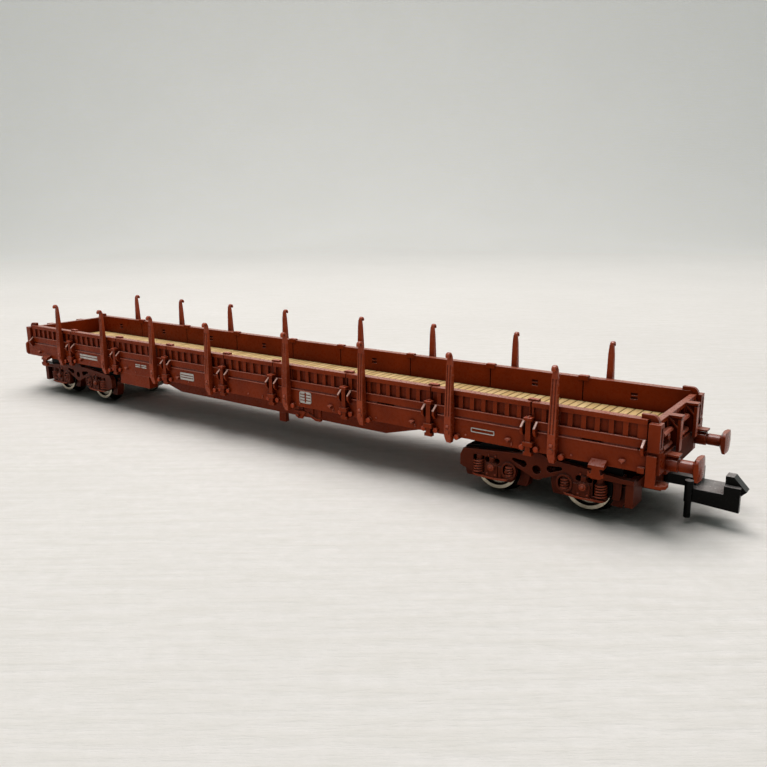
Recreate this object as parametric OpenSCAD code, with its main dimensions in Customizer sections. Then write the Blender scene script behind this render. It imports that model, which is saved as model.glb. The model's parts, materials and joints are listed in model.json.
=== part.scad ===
// Model bogie flat car with drop sides and stakes, N scale (1:160).
// X runs along the car, Y across it and Z up. The origin lies on the centre line, under the flanges.
// The near side is -Y, the far side +Y, the right end +X and the left end -X.

/* [Wheelsets] */
// Diameter of the wheel tread
tread_d = 5.6; // [5:0.1:6]
// Height of the flange above the tread
flange_h = 0.6; // [0.4:0.05:0.8]
// Thickness of the flange
flange_t = 0.6; // [0.4:0.05:0.8]
// Distance between the backs of the two wheels on an axle
back_to_back = 7.4; // [7.2:0.05:7.6]
// Whole width of a wheel
wheel_w = 2.2; // [1.9:0.05:2.4]
// Radial width of the wheel rim
rim_w = 0.5; // [0.3:0.05:0.8]
// Depth of the hollow in each wheel face
wheel_dish = 0.4; // [0.2:0.05:0.6]
// Thickness of the wheel's hub round the axle
wheel_hub_t = 0.5; // [0.3:0.05:0.7]
// Fall of the tread's cone across the wheel
tread_coning = 0.08; // [0.04:0.01:0.12]
// Diameter of the axle between the wheels
axle_d = 1.5; // [1.2:0.1:1.8]
// Diameter of the journal outside each wheel
journal_d = 0.9; // [0.6:0.05:1.1]
// Length of the journal outside each wheel
journal_len = 0.7; // [0.6:0.05:0.8]
// Length of the point at the end of each journal
point_len = 0.4; // [0.2:0.05:0.5]

/* [Bogies] */
// Distance between the two bogie pivots
pivot_spacing = 89.4; // [88:0.2:91]
// Distance between the two axles of a bogie
wheelbase = 11.2; // [10.6:0.1:11.6]
// Thickness of the side frame
side_frame_t = 0.85; // [0.7:0.05:1]
// End play of a wheelset at each side frame
axle_play = 0.25; // [0.15:0.05:0.35]
// Reach of the side frame beyond the axle
frame_reach = 4.3; // [4.1:0.1:4.5]
// Height of the side frame's top above the axle, beside its middle
frame_rise = 2.55; // [2.4:0.05:2.6]
// Height of the side frame's top above the axle, at its ends
frame_rise_end = 1.9; // [1.8:0.05:2.1]
// Height of the side frame's foot below the axle
frame_drop = 1.2; // [1.1:0.05:1.4]
// Bevel of the side frame's corners
frame_bevel = 0.4; // [0.2:0.05:0.5]
// Height of the hole in the middle of the side frame above the axle
hub_rise = 1.02; // [0.95:0.01:1.1]
// Radius of that hole
hub_hole_r = 0.52; // [0.4:0.02:0.6]
// Radius of the side frame's round middle over the hole
hub_r = 1.98; // [1.8:0.01:2.1]
// Radius of the side frame's round middle under the hole
hub_low_r = 1.15; // [1.05:0.01:1.25]
// Distance from that hole to the wide end of the slot beside it
slot_in = 1.62; // [1.5:0.02:1.7]
// Distance from that hole to the narrow end of the slot
slot_out = 2.85; // [2.7:0.05:2.9]
// Radius of the slot's wide end
slot_in_r = 0.4; // [0.3:0.02:0.4]
// Radius of the slot's narrow end
slot_out_r = 0.2; // [0.1:0.02:0.2]
// Height of the slot's wide end above the axle
slot_rise = 1.4; // [1.35:0.05:1.5]
// Rise of the slot from its wide end to its narrow end
slot_climb = 0.3; // [0.1:0.05:0.4]
// Distance from the middle to the outer end of the strap under the slot
strap_reach = 2.7; // [2.6:0.05:2.8]
// Height of that end above the axle
strap_rise = 0.93; // [0.85:0.02:1]
// Distance from the axle to the outer spring
spring_offset = 1.75; // [1.7:0.05:1.8]
// Radius of a bogie spring
spring_r = 0.5; // [0.4:0.02:0.55]
// Number of turns shown on a bogie spring
spring_turns = 6; // [4:1:7]
// Height of the plain cap over the outer spring
spring_cap = 0.55; // [0.4:0.05:0.7]
// Width of the window round the outer spring
spring_window_w = 1.5; // [1.4:0.05:1.6]
// Height of that window above the axle
window_rise = 1.4; // [1.3:0.05:1.45]
// Depth of that window below the axle
window_drop = 0.65; // [0.55:0.05:0.75]
// Distance from the axle to the loop round the inner spring
loop_offset = 2.2; // [2.15:0.05:2.25]
// Height of the space inside that loop above the axle
loop_rise = 1; // [0.9:0.05:1.05]
// Depth of the space inside that loop below the axle
loop_drop = 0.62; // [0.55:0.01:0.7]
// Width of that loop
loop_w = 1.85; // [1.8:0.05:1.9]
// Thickness of that loop
loop_t = 0.22; // [0.18:0.02:0.26]
// Projection of that loop beyond the side frame
loop_out = 0.2; // [0.1:0.05:0.3]
// Radius of the bolt inside that loop
loop_bolt_r = 0.2; // [0.15:0.01:0.25]
// Radius of the two holes over the axlebox
box_hole_r = 0.35; // [0.25:0.02:0.35]
// Distance of those holes from the axle
box_hole_x = 0.63; // [0.6:0.01:0.68]
// Height of those holes above the axle
box_hole_rise = 1.05; // [1:0.02:1.1]
// Width of the axlebox
axlebox_w = 1.5; // [1.4:0.05:1.6]
// Height of the axlebox's shoulders above the axle
axlebox_rise = 0.45; // [0.4:0.05:0.5]
// Depth of the axlebox below the axle
axlebox_drop = 0.9; // [0.8:0.05:1]
// Projection of the axlebox beyond the side frame
axlebox_out = 0.2; // [0.15:0.05:0.3]
// Radius of the axlebox cover
axlebox_cover_r = 0.5; // [0.4:0.02:0.55]
// Height of the axlebox cover
axlebox_cover_h = 0.2; // [0.1:0.05:0.25]
// Height of the cover's centre above the axle
axlebox_cover_rise = 0.25; // [0:0.05:0.3]
// Width of the horn over the axlebox
horn_w = 0.52; // [0.4:0.02:0.54]
// Length of the bolster along the car
bolster_w = 2.8; // [2.4:0.1:3]
// Height of the bolster
bolster_h = 1.1; // [0.9:0.05:1.3]
// Height of the bolster's top above the axle
bolster_rise = 2.2; // [2:0.05:2.3]
// Width of the spine from the bolster to the coupler pocket
spine_w = 2.2; // [1.8:0.1:2.4]
// Height of that spine
spine_h = 0.7; // [0.5:0.05:0.8]
// Gap from the side frame to the end beam
end_beam_gap = 0.2; // [0.15:0.05:0.3]
// Thickness of the end beam
end_beam_t = 0.9; // [0.7:0.05:1]
// Height of the end beam
end_beam_h = 2.7; // [2.6:0.05:2.9]
// Width of each outer block of the end beam
end_beam_w = 2.9; // [2.4:0.1:3.2]
// Height of the arms that carry the end beam
end_arm_t = 0.5; // [0.4:0.05:0.6]
// Gap between a brake block and the tread
brake_gap = 0.35; // [0.25:0.05:0.4]
// Thickness of a brake block
brake_t = 1.15; // [0.9:0.05:1.2]
// Reach of a brake block below the axle
brake_drop = 1.7; // [1.4:0.1:1.9]
// Reach of a brake block above the axle
brake_rise = 0.7; // [0.6:0.05:0.9]
// Width of a brake hanger
hanger_w = 0.4; // [0.3:0.05:0.5]
// Diameter of the pivot pin
pivot_d = 2.4; // [2:0.1:2.6]
// Diameter of the pivot pin's head
pivot_head_d = 4; // [3.4:0.1:4.4]
// Thickness of the pivot pin's head
pivot_head_t = 0.35; // [0.25:0.05:0.5]
// Diameter of the boss that bears on the bogie
boss_d = 5; // [4.4:0.1:5.6]

/* [Couplers] */
// Height of the coupler's trunnions above the rail
coupler_rise = 3.7; // [3.5:0.05:3.9]
// Distance from the outer axle to the trunnions
trunnion_reach = 4.8; // [4.6:0.05:5]
// Diameter of the trunnions
trunnion_d = 0.8; // [0.6:0.05:0.9]
// Thickness of the coupler shank
shank_h = 1.1; // [0.9:0.05:1.2]
// Width of the coupler shank
shank_w = 1.8; // [1.6:0.1:2.2]
// Width of the coupler tail in its pocket
tail_w = 2.4; // [2.2:0.1:2.6]
// Distance from the trunnions to the coupler head
shank_len = 5.3; // [5:0.1:5.6]
// Length of the coupler head
head_len = 4.6; // [4.2:0.1:5]
// Width of the coupler head
head_w = 3.9; // [3.5:0.1:4.2]
// Depth of the coupler head's rear below the trunnions
head_drop = 1.8; // [1.7:0.05:1.9]
// Fall of the head's underside from its rear to its front
head_fall = 0.25; // [0.1:0.05:0.3]
// Drop of the head's rear part below the trunnions
head_rear_drop = 0.3; // [0.2:0.05:0.4]
// Width of the hook
hook_w = 1.35; // [1.1:0.05:1.6]
// Height of the hook above the trunnions
hook_rise = 1.55; // [1.4:0.05:1.6]
// Distance from the front of the head to the back of the hook
hook_set = 1.63; // [1.5:0.01:1.7]
// Length of the hook's level top
hook_top = 0.8; // [0.6:0.05:0.9]
// Length of the hook's nose beyond the head
nose_len = 0.5; // [0.3:0.05:0.6]
// Height of the hook's nose above the trunnions
nose_rise = 0.15; // [0.05:0.05:0.25]
// Depth of the hook's chin below its nose
chin_drop = 0.75; // [0.6:0.05:0.8]
// Length of the catch at the front of the head
catch_len = 1.6; // [1.4:0.05:1.8]
// Height of the catch above the trunnions
catch_rise = 0.6; // [0.5:0.05:0.7]
// Width of the catch beside the hook
catch_w = 0.6; // [0.5:0.05:0.8]
// Width of the ear behind the head
ear_w = 1.7; // [1.5:0.1:1.9]
// Thickness of the ear behind the head
ear_t = 0.35; // [0.25:0.05:0.45]
// Height of the ear above the trunnions
ear_rise = 1.2; // [1:0.05:1.4]
// Diameter of the post that carries the pin
pin_head_d = 0.9; // [0.8:0.05:1]
// Diameter of the pin behind the head
pin_d = 0.72; // [0.6:0.02:0.8]
// Length of the coupler's tail behind the trunnions
tail_back = 0.55; // [0.5:0.05:0.7]
// Thickness of the pocket's cheeks
cheek_t = 0.7; // [0.5:0.05:0.8]
// Length of the pocket behind the trunnions
pocket_back = 1.9; // [1.7:0.05:2.1]
// Length of the pocket ahead of the trunnions
pocket_front = 2; // [1.7:0.05:2.2]
// Thickness of the pocket's floor, back wall and cover
pocket_t = 0.35; // [0.25:0.05:0.4]
// Diameter of the coupler spring
coupler_spring_d = 1; // [0.8:0.05:1.05]
// Thickness of the coupler spring's wall
spring_wire = 0.2; // [0.1:0.05:0.3]
// Room between the coupler spring and the tail
spring_room = 0.15; // [0.1:0.05:0.25]

/* [Body] */
// Width over the sills and drop sides
body_w = 15.9; // [15:0.1:17]
// Length of the middle drop-side panel
centre_panel = 10; // [9:0.1:11]
// Length of each panel between the middle one and the end ones
panel_pitch = 13.07; // [12.8:0.01:13.3]
// Length of each end panel
end_panel = 12.9; // [12.5:0.1:13.3]
// Running room over the flanges
floor_room = 0.65; // [0.5:0.05:0.8]
// Thickness of the floor
floor_t = 0.8; // [0.6:0.05:1]
// Thickness of the ballast plate
ballast_t = 0.5; // [0.3:0.05:0.6]
// Length of the ballast plate
ballast_len = 100; // [60:1:106]
// Width of the ballast plate
ballast_w = 11; // [8:0.5:12]
// Thickness of the deck planks
deck_t = 0.6; // [0.4:0.05:0.8]
// Width of a deck plank
plank_pitch = 1.05; // [0.8:0.05:1.6]
// Width of the groove between two planks
plank_groove = 0.12; // [0.08:0.01:0.2]
// Height of the deck above the sills
deck_step = 0.2; // [0.1:0.05:0.3]
// Height of the side sill
sill_h = 2.35; // [2.1:0.05:2.6]
// Thickness of the side sill
sill_t = 1; // [0.8:0.05:1.2]
// Thickness of the headstock
headstock_t = 1.2; // [1:0.05:1.4]
// Depth of the headstock below the sills
headstock_drop = 0.6; // [0.3:0.05:0.8]
// Depth of the headstock's top below the sills, between the corner posts
headstock_low = 0.45; // [0.3:0.05:0.5]
// Distance of a fish-belly beam's outer face from the centre line
fish_y = 3.2; // [2.9:0.1:3.4]
// Thickness of a fish-belly beam
fish_t = 0.7; // [0.5:0.05:0.9]
// Depth of the fish-belly beams below the floor
fish_depth = 3.75; // [3:0.05:4]
// Depth of the fish-belly beams at their ends
fish_end_depth = 0.75; // [0.5:0.05:1]
// Half length of the level foot of the fish-belly beams
fish_flat = 21; // [18:0.5:23]
// Half length of the fish-belly beams
fish_half = 32.5; // [30:0.5:33]
// Width of a cross bearer under the floor
bearer_w = 0.8; // [0.6:0.1:1.2]

/* [Drop sides] */
// Height of the drop sides above the sills
wall_h = 3.27; // [2.8:0.01:3.6]
// Thickness of the drop sides
wall_t = 1; // [0.8:0.05:1.2]
// Height of the shadow gap over the sill
wall_gap = 0.25; // [0.15:0.05:0.35]
// Depth of the shadow gap
wall_gap_d = 0.45; // [0.3:0.05:0.5]
// Height of the top rail
top_rail_h = 0.55; // [0.4:0.05:0.7]
// Height of the lower rail
lower_rail_h = 0.88; // [0.7:0.02:1.1]
// Depth of the ribbed hollow between the rails
rib_depth = 0.35; // [0.2:0.05:0.45]
// Distance between two ribs
rib_pitch = 1.5; // [1.2:0.05:2]
// Width of a rib
rib_w = 0.55; // [0.4:0.05:0.9]
// Width of the groove between two panels
joint_groove = 0.16; // [0.12:0.02:0.24]
// Depth of the groove between two panels, in each face of the wall
joint_groove_d = 0.25; // [0.15:0.05:0.35]
// Length of the cap over each panel joint
joint_cap_len = 1.3; // [1:0.1:1.8]
// Height of the cap over each panel joint
joint_cap_h = 0.2; // [0.1:0.02:0.3]
// Drop of that cap over the inner face
joint_cap_drop = 0.4; // [0.3:0.05:0.5]
// Thickness of that cap on the inner face
joint_cap_t = 0.12; // [0.08:0.02:0.14]
// Width of the lashing slots in the inner face
lash_w = 0.85; // [0.7:0.05:1]
// Height of each of a pair of lashing slots
lash_h = 0.32; // [0.25:0.01:0.4]
// Height of the bar between them
lash_bar = 0.16; // [0.12:0.02:0.2]
// Depth of the lashing slots
lash_d = 0.3; // [0.2:0.05:0.4]
// Distance of a hinge lug from its panel joint
lug_offset = 0.78; // [0.7:0.02:0.9]
// Thickness of a hinge lug
lug_t = 0.3; // [0.2:0.02:0.4]
// Projection of a hinge lug
lug_out = 0.75; // [0.5:0.05:0.9]

/* [Panel posts] */
// Width of a panel post
post_w = 0.6; // [0.4:0.05:0.7]
// Projection of a panel post
post_out = 0.6; // [0.4:0.05:0.8]
// Height of a panel post above the sill
post_rise = 1.3; // [1:0.05:1.6]
// Drop of a panel post's foot below the sill
post_drop = 0.4; // [0.2:0.05:0.6]
// Width of the post's cap
post_cap_w = 1; // [0.9:0.05:1.1]
// Height of the post's cap
post_cap_h = 0.3; // [0.2:0.05:0.4]
// Radius of the round bolt heads beside a post
bolt_r = 0.34; // [0.2:0.02:0.4]
// Height of a bolt head
bolt_h = 0.3; // [0.2:0.05:0.4]

/* [Stakes] */
// Distance of a stake from its panel joint
stake_offset = 2.9; // [2.6:0.05:3.2]
// Width of a stake at the sill
stake_w = 0.9; // [0.7:0.05:1.1]
// Width of a stake under its crook
stake_top_w = 0.54; // [0.45:0.03:0.6]
// Width of a stake's pointed foot
stake_tip_w = 0.55; // [0.4:0.05:0.7]
// Length of the neck that narrows under the crook
stake_neck = 1.1; // [0.8:0.1:1.4]
// Depth of a stake under its crook
stake_top_d = 0.3; // [0.26:0.02:0.34]
// Depth of a stake at the sill
stake_foot_d = 0.9; // [0.8:0.05:1]
// Outward lean of a stake's back
stake_lean = 0.24; // [0.1:0.02:0.3]
// Height of the crook's top above the drop sides
stake_rise = 4.6; // [4:0.1:5.2]
// Drop of a stake's foot below the sill
stake_drop = 0.7; // [0.4:0.05:0.9]
// Radius of the crook's centre line
crook_r = 0.28; // [0.24:0.02:0.34]
// Angle at which the crook's tip ends, from straight down
crook_tip = 75; // [40:5:90]
// Radius of the bolt head at a stake's foot
stake_bolt_r = 0.28; // [0.2:0.02:0.34]
// Width of the groove down each half of the stake's face
stake_groove = 0.16; // [0.1:0.02:0.2]
// Depth of that groove
stake_groove_d = 0.1; // [0.06:0.02:0.14]

/* [Ends] */
// Thickness of the end wall
end_t = 0.7; // [0.5:0.05:0.9]
// Height of the end wall below the top of the drop sides
end_lower = 0.32; // [0.1:0.02:0.5]
// Depth of the hollows in the end wall's face
end_hollow = 0.4; // [0.2:0.05:0.4]
// Distance of a stanchion from the centre line
stanchion_y = 3.1; // [2.7:0.1:3.4]
// Width of a stanchion
stanchion_w = 0.9; // [0.7:0.05:1.1]
// Projection of a stanchion beyond the end wall
stanchion_out = 1.2; // [0.9:0.05:1.3]
// Thickness of a stanchion's web and flange
stanchion_web = 0.3; // [0.2:0.05:0.4]
// Radius of the knob near each corner of the end wall
end_knob_r = 0.36; // [0.3:0.02:0.4]
// Projection of that knob
end_knob_out = 0.6; // [0.4:0.05:0.8]
// Size of a corner post along the car
corner_l = 1.2; // [1:0.05:1.4]
// Projection of a corner post beyond the sills
corner_out = 0.25; // [0.15:0.05:0.35]
// Thickness of the corner latch
latch_t = 0.45; // [0.3:0.05:0.5]
// Reach of the corner latch over the drop side
latch_reach = 1; // [0.6:0.05:1.2]
// Distance between the centres of a pair of buffers
buffer_spacing = 11; // [10.4:0.1:11.4]
// Height of the buffers above the rail
buffer_rise = 6.88; // [6.6:0.02:7.2]
// Length of a buffer
buffer_len = 3.5; // [3.2:0.05:3.8]
// Diameter of the buffer head across its rounded corners
buffer_head_d = 3.1; // [2.9:0.05:3.3]
// Width of the buffer head
buffer_head_w = 2.6; // [2.4:0.05:2.8]
// Height of the buffer head
buffer_head_h = 2.4; // [2.2:0.05:2.6]
// Thickness of the buffer head at its rim
buffer_head_t = 0.42; // [0.3:0.02:0.5]
// Diameter of the buffer sleeve
sleeve_d = 1.5; // [1.3:0.05:1.6]
// Length of the buffer sleeve
sleeve_len = 1.2; // [1:0.05:1.4]
// Diameter of the buffer plunger
plunger_d = 1.3; // [1.1:0.05:1.4]

/* [Fittings] */
// Drop of the shunter's step below the sill
step_drop = 1.35; // [1.1:0.05:1.5]
// Length of the step's tread along the car
step_len = 2; // [1.6:0.1:2.2]
// Width of the step's tread across the car
step_w = 1.8; // [1.4:0.1:2]
// Thickness of the step's tread and hanger
step_t = 0.35; // [0.25:0.05:0.4]
// Length of the jacking pad at the step's corner
pad_len = 0.7; // [0.5:0.05:0.8]
// Height of that pad
pad_h = 0.6; // [0.4:0.05:0.7]
// Projection of that pad
pad_out = 0.35; // [0.2:0.05:0.45]
// Distance of a rope eye from the next panel joint
eye_offset = 2.6; // [2.5:0.05:2.7]
// Width of a rope eye
eye_w = 0.6; // [0.4:0.05:0.7]
// Projection of a rope eye
eye_out = 0.3; // [0.1:0.05:0.3]
// Distance of a round stop under the sill from its stake
knob_offset = 0.95; // [0.9:0.01:1]
// Radius of that stop
knob_r = 0.34; // [0.28:0.02:0.36]
// Projection of that stop
knob_out = 0.42; // [0.3:0.02:0.5]
// Distance of a tow hook from the outermost panel joint
tow_offset = 8; // [7.6:0.1:8.4]
// Width of a tow hook's bracket
tow_w = 1.7; // [1.4:0.1:2]
// Projection of a tow hook's bracket
tow_out = 0.95; // [0.7:0.05:1.1]
// Drop of a tow hook below the sill
tow_drop = 1.35; // [1.1:0.05:1.4]
// Distance of the equipment box from the centre of the car
box_x = 26.8; // [25:0.1:27.2]
// Length of the equipment box
box_len = 7.6; // [6:0.1:8]
// Drop of the equipment box below the sill
box_drop = 1.9; // [1.5:0.05:2.2]
// Width of the equipment box across the car
box_w = 1.6; // [1.2:0.1:2]
// Distance of the brake lever's plate from the centre of the car
lever_x = 9.4; // [9.2:0.1:9.8]
// Width of that plate
lever_w = 2.2; // [1.8:0.1:2.4]
// Distance from that plate to the hanger of the lever's handle
lever_pitch = 3.4; // [3.2:0.1:3.6]
// Drop of the brake lever below the sill
lever_drop = 1.85; // [1.6:0.05:2]
// Distance of the brake rod's hanger from the centre of the car
rod_hanger_x = 1.9; // [1:0.1:2.5]
// Length of that hanger along the car
rod_hanger_l = 1.3; // [1:0.1:1.6]
// Drop of that hanger below the fish-belly beams
rod_hanger_drop = 1.4; // [1:0.1:1.6]

/* [Fits] */
// Side clearance between pieces that are fitted beside each other
fit_gap = 0.05; // [0.03:0.01:0.08]
// Radial clearance of a part that turns
run_gap = 0.05; // [0.03:0.01:0.08]
// Radial clearance of a part that is pressed in
press_gap = 0.01; // [0.005:0.005:0.02]
// Clearance under and over a bogie's bolster
bearing_gap = 0.05; // [0.03:0.01:0.1]

/* [Hidden] */
$fn = 48;
red = [0.37, 0.17, 0.11];
wood = [0.78, 0.64, 0.43];
black = [0.08, 0.07, 0.06];
nickel = [0.72, 0.68, 0.62];
steel = [0.45, 0.45, 0.46];

// Heights, from the flanges up
rail_z = flange_h;
axle_z = rail_z + tread_d / 2;
flange_r = tread_d / 2 + flange_h;
floor_z = axle_z + flange_r + floor_room;
ballast_z = floor_z + floor_t;
deck_z = ballast_z + ballast_t;
deck_top = deck_z + deck_t;
sill_top = deck_top - deck_step;
sill_z = sill_top - sill_h;
wall_top = sill_top + wall_h;
end_top = wall_top - end_lower;
lower_rail_z = sill_top + wall_gap;
rib_z = lower_rail_z + lower_rail_h;
top_rail_z = wall_top - top_rail_h;
crook_z = wall_top + stake_rise - crook_r - stake_top_d / 2;
coupler_z = rail_z + coupler_rise;
buffer_z = rail_z + buffer_rise;
bolster_top = axle_z + bolster_rise;
bolster_z = bolster_top - bolster_h;

// Places across the car
half_w = body_w / 2;
wall_in = half_w - wall_t;
wheel_back = back_to_back / 2;
wheel_face = wheel_back + wheel_w;
frame_in = wheel_face + axle_play;
frame_out = frame_in + side_frame_t;

// Places along the car
joint_count = 4;
joints_half = [for (k = [0 : joint_count - 1]) centre_panel / 2 + k * panel_pitch];
joint_xs = concat([for (k = [joint_count - 1 : -1 : 0]) -joints_half[k]], joints_half);
stake_xs = [for (x = joint_xs) x + sign(x) * stake_offset];
wall_half = joints_half[joint_count - 1] + end_panel;
panel_xs = [
    for (k = [0 : joint_count - 1], s = [-1, 1])
        s * (joints_half[k] + (k < joint_count - 1 ? panel_pitch : end_panel) / 2)
];
end_out = wall_half + end_t;
frame_half = wall_half + fit_gap + corner_l + fit_gap;
headstock_out = frame_half + fit_gap;
latch_r = end_lower + latch_t;
bogie_x = pivot_spacing / 2;

// Places in a bogie, from its pivot
axle_x = wheelbase / 2;
frame_end = axle_x + frame_reach;
beam_out = frame_end + end_beam_gap + end_beam_t;
spring_out = axle_x + spring_offset + spring_window_w / 2;
loop_x = axle_x - loop_offset;
trunnion_x = axle_x + trunnion_reach;
cheek_in = tail_w / 2 + 3 * fit_gap;
cheek_out = cheek_in + cheek_t;

axle_names = ["right_outer", "right_inner", "left_outer", "left_inner"];
end_names = ["right", "left"];
side_names = ["near", "far"];
stakes_a_side = len(stake_xs);

// Helpers

// A box between two corners
module block(low, high) {
    translate(low) cube(high - low);
}

// An outline drawn in X and Z, standing from y to y + t
module standing_xz(y, t) {
    translate([0, y + t, 0]) rotate([90, 0, 0]) linear_extrude(t) children();
}

// An outline drawn in Y and Z, standing from x to x + t
module standing_yz(x, t) {
    translate([x, 0, 0]) rotate([90, 0, 90]) linear_extrude(t) children();
}

// A round bar along Y
module bar_y(r, y0, y1) {
    translate([0, y0, 0]) rotate([-90, 0, 0]) cylinder(r = r, h = y1 - y0);
}

// Half a turn about the upright axis: the car looks the same from either side
module half_turn() {
    rotate([0, 0, 180]) children();
}

module both_sides() {
    children();
    half_turn() children();
}

module both_hands() {
    children();
    mirror([0, 1, 0]) children();
}

module both_ends() {
    children();
    mirror([1, 0, 0]) children();
}

// Underframe

module fish_belly() {
    foot = floor_z - fish_depth;
    tip = floor_z - fish_end_depth;
    standing_xz(fish_y - fish_t, fish_t)
        polygon([
            [-fish_half, floor_z], [-fish_half, tip], [-fish_flat, foot],
            [fish_flat, foot], [fish_half, tip], [fish_half, floor_z]
        ]);
}

module sill() {
    block([-frame_half, half_w - sill_t, sill_z], [frame_half, half_w, sill_top]);
    for (x = joints_half) both_ends() sill_eye(x + panel_pitch - eye_offset);
}

// A small three-cornered rope eye on the sill's face
module sill_eye(x) {
    standing_xz(half_w - fit_gap, eye_out + fit_gap)
        translate([x, sill_z + sill_h / 4])
            polygon([[-eye_w / 2, eye_w / 2], [0, 0], [eye_w / 2, eye_w / 2], [0, eye_w * 3 / 4]]);
}

// Round stops under the sill, one beside each stake
module sill_knobs() {
    for (x = stake_xs)
        translate([x - knob_offset, 0, sill_z + knob_r / 4])
            bar_y(knob_r, half_w - sill_t / 2, half_w + knob_out);
}

// A block on the sill's face at the step's corner, to lift the car by
module jacking_pad() {
    end = wall_half - 2 * fit_gap;
    block([end - pad_len, half_w - fit_gap, sill_z], [end, half_w + pad_out, sill_z + pad_h]);
}

module headstock() {
    plate_t = 0.2;
    plate_l = 1.3;
    plate_w = 1.2;
    plate_z = buffer_z + sleeve_d / 2 + plate_t;
    difference() {
        block([frame_half - headstock_t, -half_w, sill_z], [headstock_out, half_w, sill_top]);
        block([end_out + fit_gap, -wall_in, sill_top - headstock_low],
              [headstock_out + fit_gap, wall_in, sill_top + fit_gap]);
    }
    block([frame_half - headstock_t, -buffer_spacing / 2, sill_z - headstock_drop],
          [headstock_out, buffer_spacing / 2, sill_z]);
    // Tread plates over the buffers
    both_hands()
        block([headstock_out - fit_gap, buffer_spacing / 2 - plate_w / 2, plate_z],
              [headstock_out + plate_l, buffer_spacing / 2 + plate_w / 2, plate_z + plate_t]);
}

module pivot_boss() {
    translate([bogie_x, 0, bolster_top + bearing_gap])
        cylinder(d = boss_d, h = floor_z - bolster_top - bearing_gap);
}

module pivot_hole() {
    translate([bogie_x, 0, bolster_top])
        cylinder(d = pivot_d + 2 * press_gap, h = ballast_z - bolster_top);
}

module ballast_shape(gap) {
    block([-ballast_len / 2 - gap, -ballast_w / 2 - gap, ballast_z],
          [ballast_len / 2 + gap, ballast_w / 2 + gap, deck_z]);
}

module underframe() {
    sill_mid = half_w - sill_t / 2;
    color(red) difference() {
        union() {
            block([-frame_half, -sill_mid, floor_z], [frame_half, sill_mid, ballast_z]);
            block([-wall_half + fit_gap, -wall_in + fit_gap, floor_z],
                  [wall_half - fit_gap, wall_in - fit_gap, deck_z]);
            both_hands() {
                sill();
                fish_belly();
            }
            both_sides() {
                sill_knobs();
                mirror([1, 0, 0]) jacking_pad();
            }
            both_ends() {
                headstock();
                pivot_boss();
                for (x = [joints_half[0], joints_half[1], fish_half - bearer_w])
                    block([x - bearer_w / 2, -sill_mid, sill_z], [x + bearer_w / 2, sill_mid, floor_z]);
            }
        }
        ballast_shape(fit_gap);
        both_ends() pivot_hole();
    }
}

module ballast_plate() {
    color(steel) ballast_shape(0);
}

// The planks lie across the car, with a groove between each two
module deck_boards() {
    half = wall_half - fit_gap;
    count = floor(2 * half / plank_pitch);
    first = -(count - 1) * plank_pitch / 2;
    grooves = [
        for (i = [count - 1 : -1 : 0])
            let (x = first + i * plank_pitch)
            each [
                [x + plank_groove / 2, deck_top],
                [x + plank_groove / 2, deck_top - plank_groove],
                [x - plank_groove / 2, deck_top - plank_groove],
                [x - plank_groove / 2, deck_top]
            ]
    ];
    color(wood) standing_xz(-wall_in + fit_gap, 2 * (wall_in - fit_gap))
        polygon(concat([[-half, deck_z], [half, deck_z], [half, deck_top]], grooves, [[-half, deck_top]]));
}

// Drop sides

// Plan of the ribbed band: upright ribs with hollows between them
module rib_plan() {
    count = floor((2 * wall_half - rib_w) / rib_pitch);
    first = -(count - 1) * rib_pitch / 2;
    gap_half = (rib_pitch - rib_w) / 2;
    hollows = [
        for (i = [count - 1 : -1 : 0])
            let (x = first + i * rib_pitch)
            each [
                [x + gap_half, half_w - rib_depth / 4],
                [x + gap_half, half_w - rib_depth],
                [x - gap_half, half_w - rib_depth],
                [x - gap_half, half_w - rib_depth / 4]
            ]
    ];
    ends = [[-wall_half, wall_in], [wall_half, wall_in], [wall_half, half_w - rib_depth / 4]];
    polygon(concat(ends, hollows, [[-wall_half, half_w - rib_depth / 4]]));
}

module hinge_lug(x) {
    foot = sill_top - wall_gap;
    standing_yz(x - lug_t / 2, lug_t)
        polygon([
            [half_w - rib_depth, rib_z], [half_w, rib_z],
            [half_w + lug_out, lower_rail_z + wall_gap], [half_w + lug_out, sill_top],
            [half_w + lug_out / 2, foot - wall_gap], [half_w, foot - wall_gap],
            [half_w, lower_rail_z], [half_w - rib_depth, lower_rail_z]
        ]);
}

// A pair of slots for a lashing strap, one over the other
module lashing_slots(x) {
    mid_z = (deck_top + wall_top) / 2;
    for (z = [mid_z - lash_bar / 2 - lash_h, mid_z + lash_bar / 2])
        block([x - lash_w / 2, wall_in - fit_gap, z], [x + lash_w / 2, wall_in + lash_d, z + lash_h]);
}

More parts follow.
